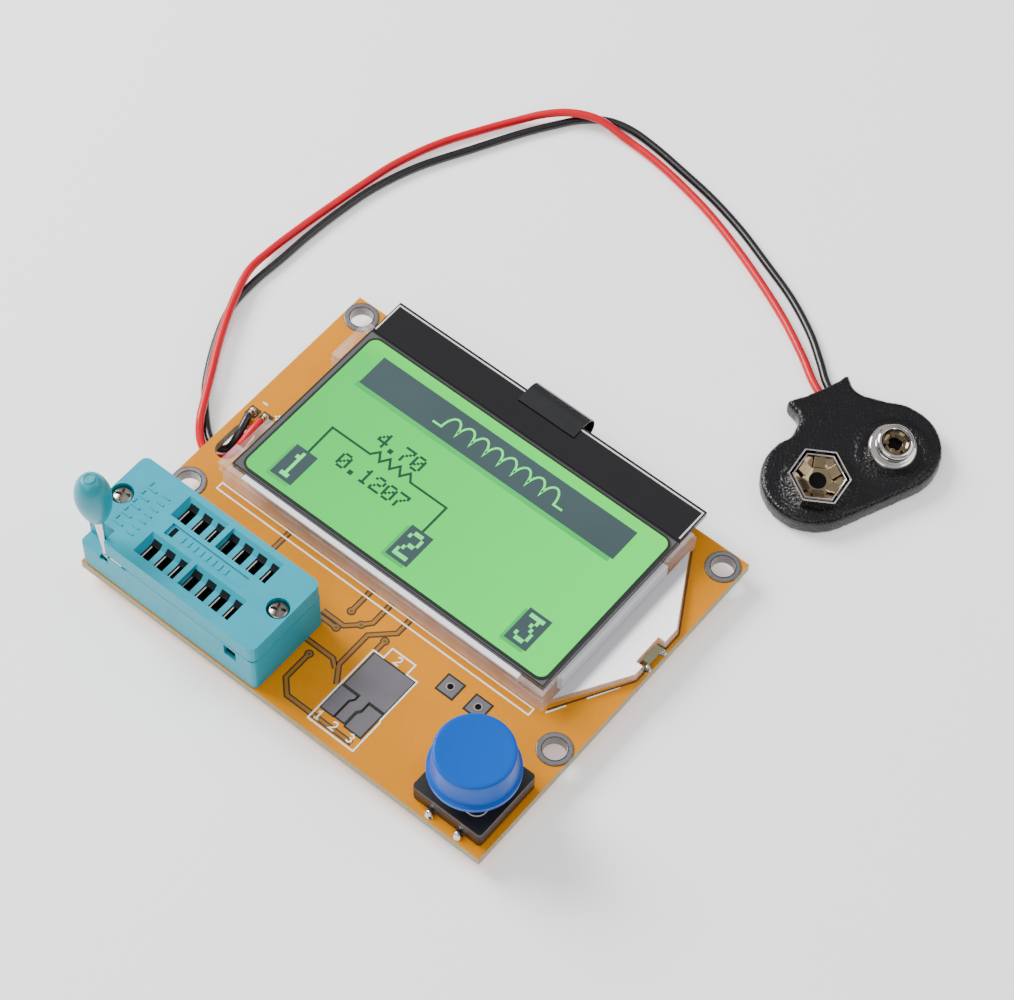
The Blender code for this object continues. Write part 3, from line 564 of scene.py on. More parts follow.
def round_edges(made, width):
    """Rounded edges on a piece or a CAD node."""
    weld = made.modifiers.new("weld", "WELD")
    weld.merge_threshold = 0.000002
    flat = made.modifiers.new("flat_faces", "DECIMATE")
    flat.decimate_type = "DISSOLVE"
    flat.angle_limit = radians(1)
    edge = made.modifiers.new("rounded_edges", "BEVEL")
    edge.width = width * MM
    edge.segments = 2
    edge.limit_method = "ANGLE"
    edge.angle_limit = radians(35)
    edge.harden_normals = True


# The look of each CAD node that is kept, and the width of its rounded edges in millimetres.
CORNERS = ("front_left", "front_right", "back_left", "back_right")
FINISHES = {
    "circuit_board": ("solder_mask", 0),
    "socket_base": ("turquoise", 0.14),
    "socket_cover": ("turquoise", 0.12),
    # The slider, deep inside the socket, is coloured near black as painted shade.
    "socket_slider": ("painted_shade_and_mark_black", 0),
    "lever_link": ("contact", 0.05),
    "lever_pin": ("steel", 0),
    "lever_arm": ("steel", 0.09),
    "light_guide": ("light_guide", 0.12),
    "reflector_film": ("wedge_film", 0),
    "diffuser_film": ("white_frame", 0),
    "rear_glass": ("glass_edge", 0.06),
    "front_glass": ("glass_band", 0.08),
    "driver_chip": ("chip", 0),
    "ledge_tape": ("tape", 0.08),
    "display_cable": ("cable", 0.03),
    "backlight_led": ("lamp", 0.06),
    "switch_base": ("black_plastic", 0.12),
    "switch_frame": ("black_plastic", 0.16),
    "switch_plunger": ("black_plastic", 0.1),
    "switch_dome": ("steel", 0),
    "microcontroller": ("chip", 0.08),
    "voltage_regulator": ("chip", 0.08),
    "voltage_reference": ("chip", 0.06),
    "switching_transistor": ("chip", 0.06),
    "ceramic_resonator": ("ceramic", 0.15),
    "capacitor_left": ("tantalum", 0.15),
    "capacitor_right": ("tantalum", 0.15),
    "switch_terminal_left": ("ring_metal", 0.06),
    "switch_terminal_right": ("ring_metal", 0.06),
    **{f"mounting_ring_{corner}": ("ring_metal", 0.04) for corner in CORNERS},
    **{f"contact_{number:02d}": ("contact", 0) for number in range(1, 15)},
}


def dress_nodes():
    for name, (look, edge) in FINISHES.items():
        paint(frame["nodes"][name], look)
        if edge:
            round_edges(frame["nodes"][name], edge)


# -------- leads
WIRE_RADIUS = 0.65
WIRE_LOW = FLOOR + WIRE_RADIUS + 0.02
RED_OVER = WIRE_LOW + 2 * WIRE_RADIUS + 0.11
RED_ROUTE = [
    (3.9, 33.8, 0.8), (4.0, 32.4, 0.75), (4.05, 31.0, 0.5), (4.0, 29.5, -0.15),
    (3.75, 28.3, -1.1), (3.1, 27.2, -2.0), (1.9, 26.5, -2.65), (0.3, 26.3), (-1.4, 26.75, -2.9),
    (-3.0, 27.9, -2.4), (-4.5, 29.8, -1.65), (-6.0, 32.3, RED_OVER), (-8.4, 36.4, RED_OVER),
    (-11.8, 42.2, RED_OVER), (-14.8, 48.3, RED_OVER), (-16.9, 54.2, RED_OVER),
    (-17.5, 60.0, -2.6), (-17.1, 66.0), (-16.3, 72.0), (-15.3, 78.6), (-14.0, 85.3),
    (-11.5, 92.5), (-7.9, 99.3), (-4.9, 104.0, -2.7), (-2.0, 107.3, -1.9), (1.3, 110.0, RED_OVER),
    (5.4, 111.8, -1.7), (10.4, 112.2, -2.8), (15.7, 111.9), (22.1, 110.8), (29.2, 109.0),
    (36.0, 106.6), (43.6, 103.4), (50.4, 100.1), (56.3, 96.6), (60.4, 93.8), (64.2, 91.9),
]
BLACK_ROUTE = [
    (1.85, 33.5, 0.8), (2.2, 32.4, 0.75), (2.5, 31.1, 0.35), (2.6, 29.9, -0.5),
    (2.45, 28.95, -1.5), (1.75, 28.3, -2.35), (0.5, 28.0, -2.85), (-1.1, 28.25), (-2.9, 29.4),
    (-4.9, 31.2), (-6.8, 33.2), (-9.3, 36.4), (-12.8, 42.4), (-15.1, 48.2), (-15.6, 53.8),
    (-15.3, 60.0), (-15.1, 66.0), (-14.5, 72.5), (-13.4, 79.4), (-10.9, 87.0), (-6.6, 95.4),
    (-2.8, 102.6), (0.2, 107.4), (2.7, 110.8), (6.0, 113.3), (10.0, 114.2), (15.0, 113.9),
    (21.2, 112.9), (28.0, 111.6), (35.0, 109.6), (42.0, 106.9), (48.8, 104.1), (54.8, 100.7),
    (59.1, 97.4), (62.1, 94.9), (64.9, 93.4),
]


def on_route(x, y, h=WIRE_LOW):
    """World position of a point of a lead, which lies on the floor unless its height is given."""
    return at(x, y, h)


def lead(node_name, route, look):
    """One insulated wire of the battery connector, as a free cord."""
    path = curve_through([on_route(*point) for point in route], 6)
    curve = bpy.data.curves.new(f"{node_name}_wire", "CURVE")
    curve.dimensions = "3D"
    curve.bevel_depth = WIRE_RADIUS * MM
    curve.bevel_resolution = 5
    curve.use_fill_caps = True
    spline = curve.splines.new("POLY")
    spline.points.add(len(path) - 1)
    for point, where in zip(spline.points, path):
        point.co = (*where, 1.0)
    wire = place_piece(curve.name, curve, look)
    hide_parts(node_name)
    return wire


def leads():
    for name, route, look, slot in (("red_lead", RED_ROUTE, "red_wire", "red_pvc"),
                                    ("black_lead", BLACK_ROUTE, "black_wire", "black_pvc")):
        wire = lead(name, route, look)


# -------- battery snap
SNAP_X, SNAP_Y = 75.2, 84.0
SNAP_TURN = radians(66.8)
SNAP_SPACING = 12.7
# The contacts sit a little crooked in the soft cover.
CONTACT_LEAN = (Matrix.Rotation(radians(11), 3, Vector((0.77, 0.63, 0.0)))
                @ Matrix.Rotation(radians(5), 3, Vector((-0.63, 0.77, 0.0))))


def on_snap(x, y, z):
    """World position of a point given on the battery snap, z above the floor."""
    return at(SNAP_X + x * cos(SNAP_TURN) - y * sin(SNAP_TURN),
              SNAP_Y + x * sin(SNAP_TURN) + y * cos(SNAP_TURN), FLOOR + z)


def snap_outline():
    """Two round ends, and the neck that the leads go into, with its corners drawn out."""
    half = SNAP_SPACING / 2
    points = arc(half, 1.4, 7.9, -90, 58, 12)
    points += [(7.9, 10.6), (7.2, 11.6), (7.1, 12.8), (7.4, 14.2), (7.7, 15.0), (7.1, 15.1),
               (6.2, 14.8), (3.5, 14.6), (0.0, 14.6), (-1.8, 14.9), (-3.0, 15.0), (-3.3, 14.7),
               (-3.0, 13.6), (-2.8, 12.4), (-3.1, 11.2), (-4.2, 10.3)]
    return points + arc(-half, 1.4, 7.9, 85, 270, 14)


def soft_cover():
    """The moulded vinyl cover, with a rolled edge and a fine uneven surface."""
    shape = bmesh.new()
    prism(shape, snap_outline(), 0.0, 3.2, on_snap)
    bmesh.ops.recalc_face_normals(shape, faces=shape.faces)
    rough = add_object("rough_cover", mesh_from(shape, "rough_cover"))
    edge = rough.modifiers.new("edge", "BEVEL")
    edge.width = 1.5 * MM
    edge.segments = 5
    edge.limit_method = "ANGLE"
    edge.angle_limit = radians(50)
    voxels = rough.modifiers.new("voxels", "REMESH")
    voxels.mode = "VOXEL"
    voxels.voxel_size = 0.4 * MM
    calm = rough.modifiers.new("calm", "SMOOTH")
    calm.factor = 0.5
    calm.iterations = 6
    finished = settled_mesh(rough)
    bpy.data.objects.remove(rough, do_unlink=True)
    finished.name = "snap_cover_vinyl"
    contacts = [on_snap(side * SNAP_SPACING / 2, 0, 0) for side in (-1, 1)]
    lift = []
    for point in finished.vertices:
        share = max(0.0, point.normal.z)
        grain = noise.fractal(point.co * 700, 0.6, 2.0, 3) * 0.04 * MM
        broad = noise.noise(point.co * 110) * 0.12 * MM
        reach = min((point.co.xy - spot.xy).length for spot in contacts) / MM
        lip = 0.22 * MM * max(0.0, 1 - abs(reach - 5.0) / 0.9) * share
        lift.append(point.normal * (grain + lip) + Vector((0, 0, broad * share)))
    for point, move in zip(finished.vertices, lift):
        point.co += move
        point.co.z = max(point.co.z, 0.00002)
    finished.shade_smooth()
    cover = place_piece("snap_cover_vinyl", finished, "vinyl")
    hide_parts("snap_cover", "snap_board")
    return cover


def hexagon(shape, levels, middle):
    """Adds a six-sided sleeve: levels are (corner radius, height) round its wall section."""
    rings = []
    for radius, height in levels:
        turns = [radians(28 + 60 * k) + SNAP_TURN for k in range(6)]
        rings.append([shape.verts.new(middle + CONTACT_LEAN @ Vector((radius * cos(a),
                                                                      radius * sin(a), height))
                                      * MM) for a in turns])
    for a, b in zip(rings, rings[1:] + rings[:1]):
        for i in range(6):
            after = (i + 1) % 6
            shape.faces.new((a[i], a[after], b[after], b[i]))


def contact_block(shape, middle, turn, out, up, size, slope=0.0):
    """Adds a block to a leaning contact, some way out from its axis and turned about it."""
    place = Vector((out * cos(turn), out * sin(turn), up)) * MM
    block(shape, Matrix.Translation(middle + CONTACT_LEAN @ place) @ CONTACT_LEAN.to_4x4()
          @ Matrix.Rotation(turn, 4, "Z") @ Matrix.Rotation(slope, 4, "Y"), size)


def leaning_foot(x, y):
    """Where a contact's axis meets the floor when it leans about the middle of its top."""
    top = Vector((0, 0, 5.0)) * MM
    return on_snap(x, y, 0) + top - CONTACT_LEAN @ top


def battery_socket():
    """Six sprung petals round a gold-brown cup with a hole in its middle."""
    middle = leaning_foot(-SNAP_SPACING / 2 - 0.2, 0.1)
    shape = bmesh.new()
    hexagon(shape, [(4.85, 1.6), (4.75, 4.4), (4.7, 5.75), (4.42, 5.75), (4.35, 4.6), (4.35, 1.6)],
            middle)
    hexagon(shape, [(4.12, 1.6), (4.12, 5.4), (3.95, 5.62), (3.75, 5.5), (3.7, 4.8), (3.7, 1.6)],
            middle)
    rims = piece("snap_socket_petals", shape, "nickel", smooth=25, edge=0.07)
    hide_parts("snap_socket")
    shape = bmesh.new()
    lathe(shape, [(3.7, 4.9), (3.1, 4.75), (2.4, 4.3), (1.7, 4.05), (1.15, 3.95), (1.15, 3.6),
                  (3.7, 3.5)], middle, sides=36, tilt=CONTACT_LEAN)
    for k in range(6):
        contact_block(shape, middle, radians(58 + 60 * k) + SNAP_TURN, 2.5, 4.9, (1.6, 1.7, 0.3),
                      radians(-30))
    cup = piece("snap_socket_cup", shape, "bronze", smooth=25, edge=0.06)
    # A near-black disc down in the cup's hole: painted shade.
    shape = bmesh.new()
    lathe(shape, [(0.0, 4.02), (1.3, 4.0), (1.3, 3.8), (0.0, 3.8)], middle, tilt=CONTACT_LEAN)
    hole = piece("snap_socket_hole_painted_shade", shape, "painted_shade_and_mark_black", smooth=40)
    return [rims, cup, hole]


def battery_stud():
    """A round stud with rolled rims, crimped round a hollow rivet."""
    middle = leaning_foot(SNAP_SPACING / 2, 0.2)
    shape = bmesh.new()
    outer = [(1.9, 5.2), (2.0, 5.9), (2.25, 6.12), (2.6, 6.05), (2.85, 5.75), (2.8, 5.2),
             (2.62, 4.5), (2.7, 4.2), (3.05, 4.1), (3.35, 4.1), (3.62, 3.85), (3.7, 3.4),
             (3.7, 2.0), (1.9, 2.0)]
    lathe(shape, outer, middle, sides=64, tilt=CONTACT_LEAN)
    rims = piece("snap_stud_rims", shape, "nickel", smooth=50)
    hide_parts("snap_stud")
    shape = bmesh.new()
    lathe(shape, [(2.0, 5.5), (1.7, 5.2), (1.35, 5.1), (1.15, 5.2), (0.95, 4.95), (0.95, 3.4),
                  (2.0, 3.4)], middle, sides=48, tilt=CONTACT_LEAN)
    for k in range(5):
        contact_block(shape, middle, tau * k / 5, 1.4, 5.25, (0.9, 0.55, 0.3))
    rivet = piece("snap_stud_rivet", shape, "bronze", smooth=40, edge=0.05)
    # A near-black disc down in the rivet's hole: painted shade.
    shape = bmesh.new()
    lathe(shape, [(0.0, 4.6), (1.0, 4.6), (1.0, 4.0), (0.0, 4.0)], middle, tilt=CONTACT_LEAN)
    hole = piece("snap_stud_hole_painted_shade", shape, "painted_shade_and_mark_black", smooth=40)
    return [rims, rivet, hole]


# -------- circuit board
TRACKS = [
    [(34.8, 18.3), (34.8, 22.9)],
    [(31.6, 15.8), (35.5, 15.8), (37.3, 17.5), (38.4, 18.8), (38.4, 22.9)],
    [(31.6, 14.9), (34.9, 14.9)],
    [(42.1, 22.9), (42.1, 19.7), (39.1, 16.8), (39.1, 10.7), (40.9, 8.1)],
    [(31.6, 10.9), (37.8, 10.9), (39.1, 9.9)],
    [(41.6, 17.6), (41.6, 15.6)],
    [(34.8, 9.3), (34.8, 4.4), (36.8, 2.4), (48.6, 2.4)],
    [(19.5, 14.7), (19.5, 22.9)],
]
VIAS = [(34.8, 18.3), (37.3, 17.5), (34.9, 14.9), (41.6, 17.6), (34.8, 9.3)]
TRACK_WIDTH = 0.95
MASK_GAP = 0.26                          # bare board round a pad
SILK_WIDTH = 0.24
SMD_PADS = [
    [(41.8, 8.9), (44.7, 8.9), (44.7, 7.9), (44.2, 7.0), (44.2, 4.2), (45.7, 4.2), (45.7, 6.6),
     (46.2, 7.2), (46.2, 8.9), (49.0, 8.9), (49.0, 15.2), (41.8, 15.2)],
    [(41.6, 4.1), (43.8, 4.1), (43.8, 7.3), (44.3, 7.9), (44.3, 8.4), (41.6, 8.4)],
    [(46.2, 3.9), (48.9, 3.9), (48.9, 8.4), (46.6, 8.4), (46.6, 6.9), (46.2, 6.3)],
]
TEST_PADS = [(53.3, 17.9), (58.3, 17.9)]
SILK_LINES = [
    [(43.2, 15.5), (41.3, 15.5), (41.3, 1.6), (49.5, 1.6), (49.5, 7.3), (49.3, 7.6), (49.3, 15.5),
     (47.4, 15.5), (47.4, 17.4), (43.2, 17.4), (43.2, 15.5)],
    [(6.5, 21.4), (64.4, 21.4), (64.4, 22.6), (6.5, 22.6), (6.5, 21.4)],
    [(66.0, 23.2), (67.5, 25.9)],
    [(69.0, 28.6), (71.4, 33.0)],
    [(1.6, 36.9), (2.5, 36.9)],
    [(4.6, 36.2), (5.6, 36.2)],
    [(5.1, 35.7), (5.1, 36.7)],
]
STROKES = {
    "1": [[(0.15, 0.78), (0.45, 1.0), (0.45, 0.0)], [(0.15, 0.0), (0.75, 0.0)]],
    "2": [[(0.05, 0.78), (0.2, 0.96), (0.5, 0.98), (0.66, 0.78), (0.6, 0.52), (0.05, 0.02),
           (0.72, 0.02)]],
    "3": [[(0.05, 0.92), (0.35, 1.0), (0.62, 0.8), (0.5, 0.56), (0.25, 0.52)],
          [(0.5, 0.54), (0.66, 0.3), (0.4, 0.02), (0.05, 0.1)]],
}
SILK_DIGITS = [("1", 41.7, 2.2), ("2", 44.5, 2.2), ("3", 47.5, 2.2), ("2", 44.7, 15.7)]


def tracks():
    for name, look, width, low, high in (
            ("track_edges", "olive_line_and_painted_shadow", TRACK_WIDTH, -0.01, 0.025),
            ("track_tops", "track_top", TRACK_WIDTH - 0.48, 0.0, 0.045)):
        shape = bmesh.new()
        for line in TRACKS:
            ribbon(shape, line, width, low, high)
        for x, y in VIAS:
            prism(shape, circle(x, y, width / 2 + 0.22, 20), low, high + 0.004)
        piece(name, shape, look)
    shape = bmesh.new()
    for x, y in VIAS:
        prism(shape, circle(x, y, 0.26, 16), 0.0, 0.07)
    piece("via_caps", shape, "via")


def grown(outline, amount):
    """An outline of square corners moved outwards by an amount, corner by corner."""
    points = [Vector(point) for point in outline]
    made = []
    for i, point in enumerate(points):
        coming = (point - points[i - 1]).normalized()
        leaving = (points[(i + 1) % len(points)] - point).normalized()
        outwards = Vector((coming.y + leaving.y, -coming.x - leaving.x))
        reach = 1 + coming.dot(leaving)
        made.append(point + outwards * (amount / max(0.35, reach)))
    return made


def square_pad(shape, x, y, half, low, high, sides=24, hole=0.5):
    """Adds a square plate with a round hole."""
    rings = []
    for h in (low, high):
        inner, outer = [], []
        for i in range(sides):
            turn = tau * i / sides
            reach = half / max(abs(cos(turn)), abs(sin(turn)))
            inner.append(shape.verts.new(at(x + hole * cos(turn), y + hole * sin(turn), h)))
            outer.append(shape.verts.new(at(x + reach * cos(turn), y + reach * sin(turn), h)))
        rings += [inner, outer]
    bottom_in, bottom_out, top_in, top_out = rings
    for a, b in ((top_in, top_out), (top_out, bottom_out), (bottom_out, bottom_in),
                 (bottom_in, top_in)):
        for i in range(sides):
            after = (i + 1) % sides
            shape.faces.new((a[i], a[after], b[after], b[i]))


def test_pads():
    dark, bare, barrels = bmesh.new(), bmesh.new(), bmesh.new()
    for outline in SMD_PADS:
        prism(dark, grown(outline, MASK_GAP), 0.0, 0.03)
        prism(bare, outline, 0.0, 0.06)
    brick(dark, (43.6, 4.15, 0.0), (46.8, 9.1, 0.026))
    for x, y in TEST_PADS:
        square_pad(dark, x, y, 1.6, 0.0, 0.03)
        square_pad(bare, x, y, 1.32, 0.0, 0.06)
        lathe(barrels, [(0.47, 0.12), (0.66, 0.12), (0.7, 0.05), (0.47, UNDERSIDE - 0.05)],
              at(x, y, 0), sides=24)
    piece("pad_borders", dark, "dark_line")
    piece("bare_pads", bare, "pad_metal")
    piece("pad_barrels", barrels, "nickel", smooth=40)
    # Near-black discs in the pads' holes: painted shade.
    holes = bmesh.new()
    for x, y in TEST_PADS:
        prism(holes, circle(x, y, 0.46, 20), 0.0, 0.05)
    piece("pad_hole_painted_shade", holes, "painted_shade_and_mark_black")


def silkscreen():
    shape = bmesh.new()
    for line in SILK_LINES:
        closed = line[0] == line[-1]
        ribbon(shape, line[:-1] if closed else line, SILK_WIDTH, 0.0, 0.055, closed=closed)
    for digit, left, front in SILK_DIGITS:
        for stroke in STROKES[digit]:
            points = [(left + px * 1.25, front + py * 1.35) for px, py in stroke]
            ribbon(shape, points, 0.22, 0.0, 0.058)
    piece("silkscreen", shape, "silkscreen")


def solder_drop(shape, x, y, radius, height, seed):
    """Adds a slightly uneven drop of solder."""
    profile = smooth_profile([(0.0, height), (radius * 0.45, height * 0.86),
                              (radius * 0.72, height * 0.45), (radius, 0.02)], 4)
    profile.append((0.0, 0.0))
    before = len(shape.verts)
    lathe(shape, profile, at(x, y, 0), sides=20)
    shape.verts.ensure_lookup_table()
    for point in list(shape.verts)[before:]:
        shift = noise.noise(point.co * 900 + Vector((seed, 0, 0)))
        point.co += Vector((shift, -shift, shift * 0.5)) * 0.08 * MM


def ring_outlines():
    """The dark gap in the mask round each plated mounting hole."""
    shape = bmesh.new()
    for corner in CORNERS:
        low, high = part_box(f"mounting_ring_{corner}")
        middle = (low + high) / 2
        middle.z = BOARD_HIGH.z
        reach = (high.x - low.x) / 2 / MM
        lathe(shape, [(reach - 0.16, 0.16), (reach + 0.03, 0.12), (reach + 0.06, 0.0),
                      (reach - 0.16, 0.0)], middle, sides=48)
        lathe(shape, [(1.78, 0.20), (1.92, 0.20), (1.92, 0.05), (1.78, 0.05)], middle, sides=48)
    piece("ring_outlines", shape, "olive_line_and_painted_shadow", smooth=40)


def lead_pads():
    dark, blobs = bmesh.new(), bmesh.new()
    for index, (x, y) in enumerate(((1.65, 34.6), (3.8, 34.9))):
        prism(dark, [(x - 0.95, y - 0.85), (x + 0.95, y - 0.85), (x + 0.95, y + 0.95),
                     (x - 0.95, y + 0.95)], 0.0, 0.04)
        solder_drop(blobs, x, y, 0.72, 1.15, index * 3.0)
        solder_drop(blobs, x, y - 0.55, 0.42, 0.95, index * 5.0 + 1)
    piece("lead_pads", dark, "olive_line_and_painted_shadow")
    joints = piece("lead_solder", blobs, "solder", smooth=50)
    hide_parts("black_lead_joint", "red_lead_joint")


# -------- test socket
def contact_tips():
    """The bright edges of the contacts, at the left of each slot."""
    corners = []
    for row_y in ROWS_Y:
        for i in range(7):
            left = SLOT_LEFT + PITCH * i
            corners.append(((left + 0.08, row_y - 1.9, 6.5), (left + 0.28, row_y + 0.75, 9.0)))
    bricks("contact_tips", corners, "contact")


def raised_marks():
    """Plain raised dashes in the places of the moulded marks, and a dark mark at pin one."""
    foot, top, groove = SOCKET_TOP - 0.02, SOCKET_TOP + 0.13, SOCKET_TOP - 0.42
    corners = []
    for i in range(5):
        front = 3.6 + 1.75 * i
        corners.append(((4.0, front, foot), (5.6, front + 0.34, top + 0.01)))
        corners.append(((3.8, front + 0.5, foot), (4.15, front + 1.3, top)))
    for i in range(7):
        front = 3.4 + 1.25 * i
        corners.append(((6.6, front, foot), (7.8, front + 0.3, top)))
    for i in range(8):
        left = 13.4 + 1.15 * i
        corners.append(((left, 7.1, groove), (left + 0.28, 8.2, groove + 0.15)))
    bricks("moulded_dashes", corners, "turquoise")
    pin_one = [((11.3, 6.9, groove + 0.01), (12.0, 8.5, groove + 0.035))]
    bricks("pin_one_mark", pin_one, "painted_shade_and_mark_black")


def cross_screw(name, x, y):
    """A pan head with a cross recess, over the screw's own shank."""
    shape = bmesh.new()
    lathe(shape, smooth_profile([(0.0, 10.42), (0.7, 10.36), (1.3, 10.15), (1.55, 9.85)], 4)
          + [(1.55, 9.5), (0.62, 9.45), (0.62, 4.05), (0.0, 4.0)], at(x, y, 0), sides=40)
    head = piece(name, shape, "screw_steel", smooth=40)
    cutter_shape = bmesh.new()
    for turn in (25, 115):
        block(cutter_shape, Matrix.Translation(at(x, y, 10.25))
              @ Matrix.Rotation(radians(turn), 4, "Z"), (2.3, 0.5, 1.5))
    bmesh.ops.create_cone(cutter_shape, cap_ends=True, segments=12, radius1=0.28 * MM,
                          radius2=0.55 * MM, depth=1.0 * MM,
                          matrix=Matrix.Translation(at(x, y, 10.1)))
    cutter = add_object(f"{name}_recess", mesh_from(cutter_shape, f"{name}_recess"))
    recess = head.modifiers.new("recess", "BOOLEAN")
    recess.object = cutter
    recess.operation = "DIFFERENCE"
    recess.use_self = True
    finished = settled_mesh(head)
    head.modifiers.clear()
    head.data = finished
    bpy.data.objects.remove(cutter, do_unlink=True)
    return head


def test_socket():
    contact_tips()
    # A near-black brick inside the latch window: painted shade.
    latch_window = [((27.45, 0.7, 4.25), (29.55, 0.98, 6.45))]
    bricks("latch_window_painted_shade", latch_window, "painted_shade_and_mark_black")
    raised_marks()
    for side, x in (("left", 1.95), ("right", 31.05)):
        screw = cross_screw(f"cross_screw_{side}", x, 7.7)
        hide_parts(f"socket_screw_{side}")
    knob()


def knob():
    """The egg-shaped knob on the lever, with a small raised ring on its top."""
    pivot = Vector(JOINTS["lever_turn"]["pos_m"])
    lean = Matrix.Rotation(radians(-3.6), 3, "Y")
    base = pivot + Vector((-0.62, 0.0, 9.1)) * MM
    length = 9.4
    profile = smooth_profile([(0.0, length), (0.9, length - 0.03), (1.6, length - 0.55),
                              (2.3, length - 1.9), (2.62, length - 3.8), (2.45, length - 5.8),
                              (1.95, length - 7.7), (1.45, length - 8.8), (1.15, 0.05)], 6)
    shape = bmesh.new()
    lathe(shape, profile + [(0.0, 0.0)], base, sides=56, tilt=lean)
    lathe(shape, [(0.66, length + 0.12), (0.84, length + 0.12), (0.95, length - 0.05),
                  (0.6, length - 0.05)], base, sides=40, tilt=lean)
    egg = piece("lever_knob_egg", shape, "knob", "lever", smooth=45)
    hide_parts("lever_knob")


# -------- display
WINDOW = (8.7, 24.85, 63.95, 53.85)
WINDOW_CORNER = 1.3
WEDGE_EDGE = [(65.9, 23.75), (72.55, 35.2), (72.55, 37.0), (71.3, 37.3), (71.3, 41.7),
              (72.55, 42.0), (72.55, 44.9), (65.6, 57.0)]
GLASS_RIM = (7.54, 24.14, 64.56, 54.56)
GLASS_TOP = 4.5
FILM_TOP = 4.68
INK_TOP = FILM_TOP + 0.04
PIXEL_GLYPHS = {
    "0": ".###. #...# #..## #.#.# ##..# #...# .###.",
    "1": "..#.. .##.. ..#.. ..#.. ..#.. ..#.. .###.",
    "2": ".###. #...# ....# ..##. .#... #.... #####",
    "3": "##### ...#. ..#.. ...#. ....# #...# .###.",
    "4": "...#. ..##. .#.#. #..#. ##### ...#. ...#.",
    "7": "##### ....# ...#. ..#.. .#... .#... .#...",
    ".": "..... ..... ..... ..... ..... .##.. .##..",
}


def glyph(shape, sign, left, front, wide, tall, low, high):
    """Adds one sign as small rectangles, a pixel of wide by tall each."""
    rows = PIXEL_GLYPHS[sign].split()
    for row, line in enumerate(rows):
        start = None
        for column, mark in enumerate(line + "."):
            if mark == "#" and start is None:
                start = column
            if mark != "#" and start is not None:
                bottom = front + (len(rows) - 1 - row) * tall
                brick(shape, (left + start * wide, bottom, low),
                      (left + column * wide, bottom + tall, high))
                start = None


def coil(left, y, loops, radius):
    """A row of round loops, the usual sign for a coil."""
    points = [(left - 1.6, y), (left, y)]
    for k in range(loops):
        middle = left + radius * (2 * k + 1)
        points += [(px, y + (py - y) * 1.9) for px, py in arc(middle, y, radius, 180, 0, 12)[1:]]
    return points + [(points[-1][0] + 1.6, y)]


def readout():
    """What the display shows: a title bar, three numbered terminals and a part between two."""
    dark, ink, light = bmesh.new(), bmesh.new(), bmesh.new()
    boxes = (("1", 12.5, 26.4), ("2", 34.0, 26.6), ("3", 55.4, 26.8))
    brick(dark, (12.2, 46.3, FILM_TOP), (59.3, 52.0, INK_TOP))
    for sign, left, front in boxes:
        brick(dark, (left, front, FILM_TOP), (left + 3.9, front + 6.0, INK_TOP))
        glyph(light, sign, left + 0.7, front + 0.6, 0.5, 0.69, INK_TOP, INK_TOP + 0.03)
    ribbon(light, coil(26.4, 48.0, 8, 1.3), 0.34, INK_TOP, INK_TOP + 0.03)
    zigzag = [(21.6 + 0.95 * k, 39.0 if k % 2 else 37.6) for k in range(1, 8)]
    line = [(14.6, 32.4), (14.5, 37.8), (21.6, 37.8)] + zigzag + [(29.2, 37.8), (35.9, 37.8),
                                                                 (35.9, 32.6)]
    ribbon(ink, line, 0.36, FILM_TOP, INK_TOP)
    for text, left, front in (("4.70", 20.7, 39.6), ("0.1207", 18.6, 33.2)):
        for index, sign in enumerate(text):
            glyph(ink, sign, left + 2.12 * index, front, 0.37, 0.38, FILM_TOP, INK_TOP)
    shade = bmesh.new()
    brick(shade, (11.9, 45.5, FILM_TOP - 0.01), (58.9, 46.6, FILM_TOP + 0.012))
    for _, left, front in boxes:
        brick(shade, (left - 0.3, front - 0.55, FILM_TOP - 0.01),
              (left + 3.5, front + 0.3, FILM_TOP + 0.012))
        brick(shade, (left - 0.45, front - 0.4, FILM_TOP - 0.01),
              (left + 0.3, front + 5.5, FILM_TOP + 0.014))
    piece("display_soft_shadows", shade, "shade")
    piece("display_bars", dark, "segment")
    piece("display_lines", ink, "stroke")
    piece("display_light_signs", light, "light_stroke")


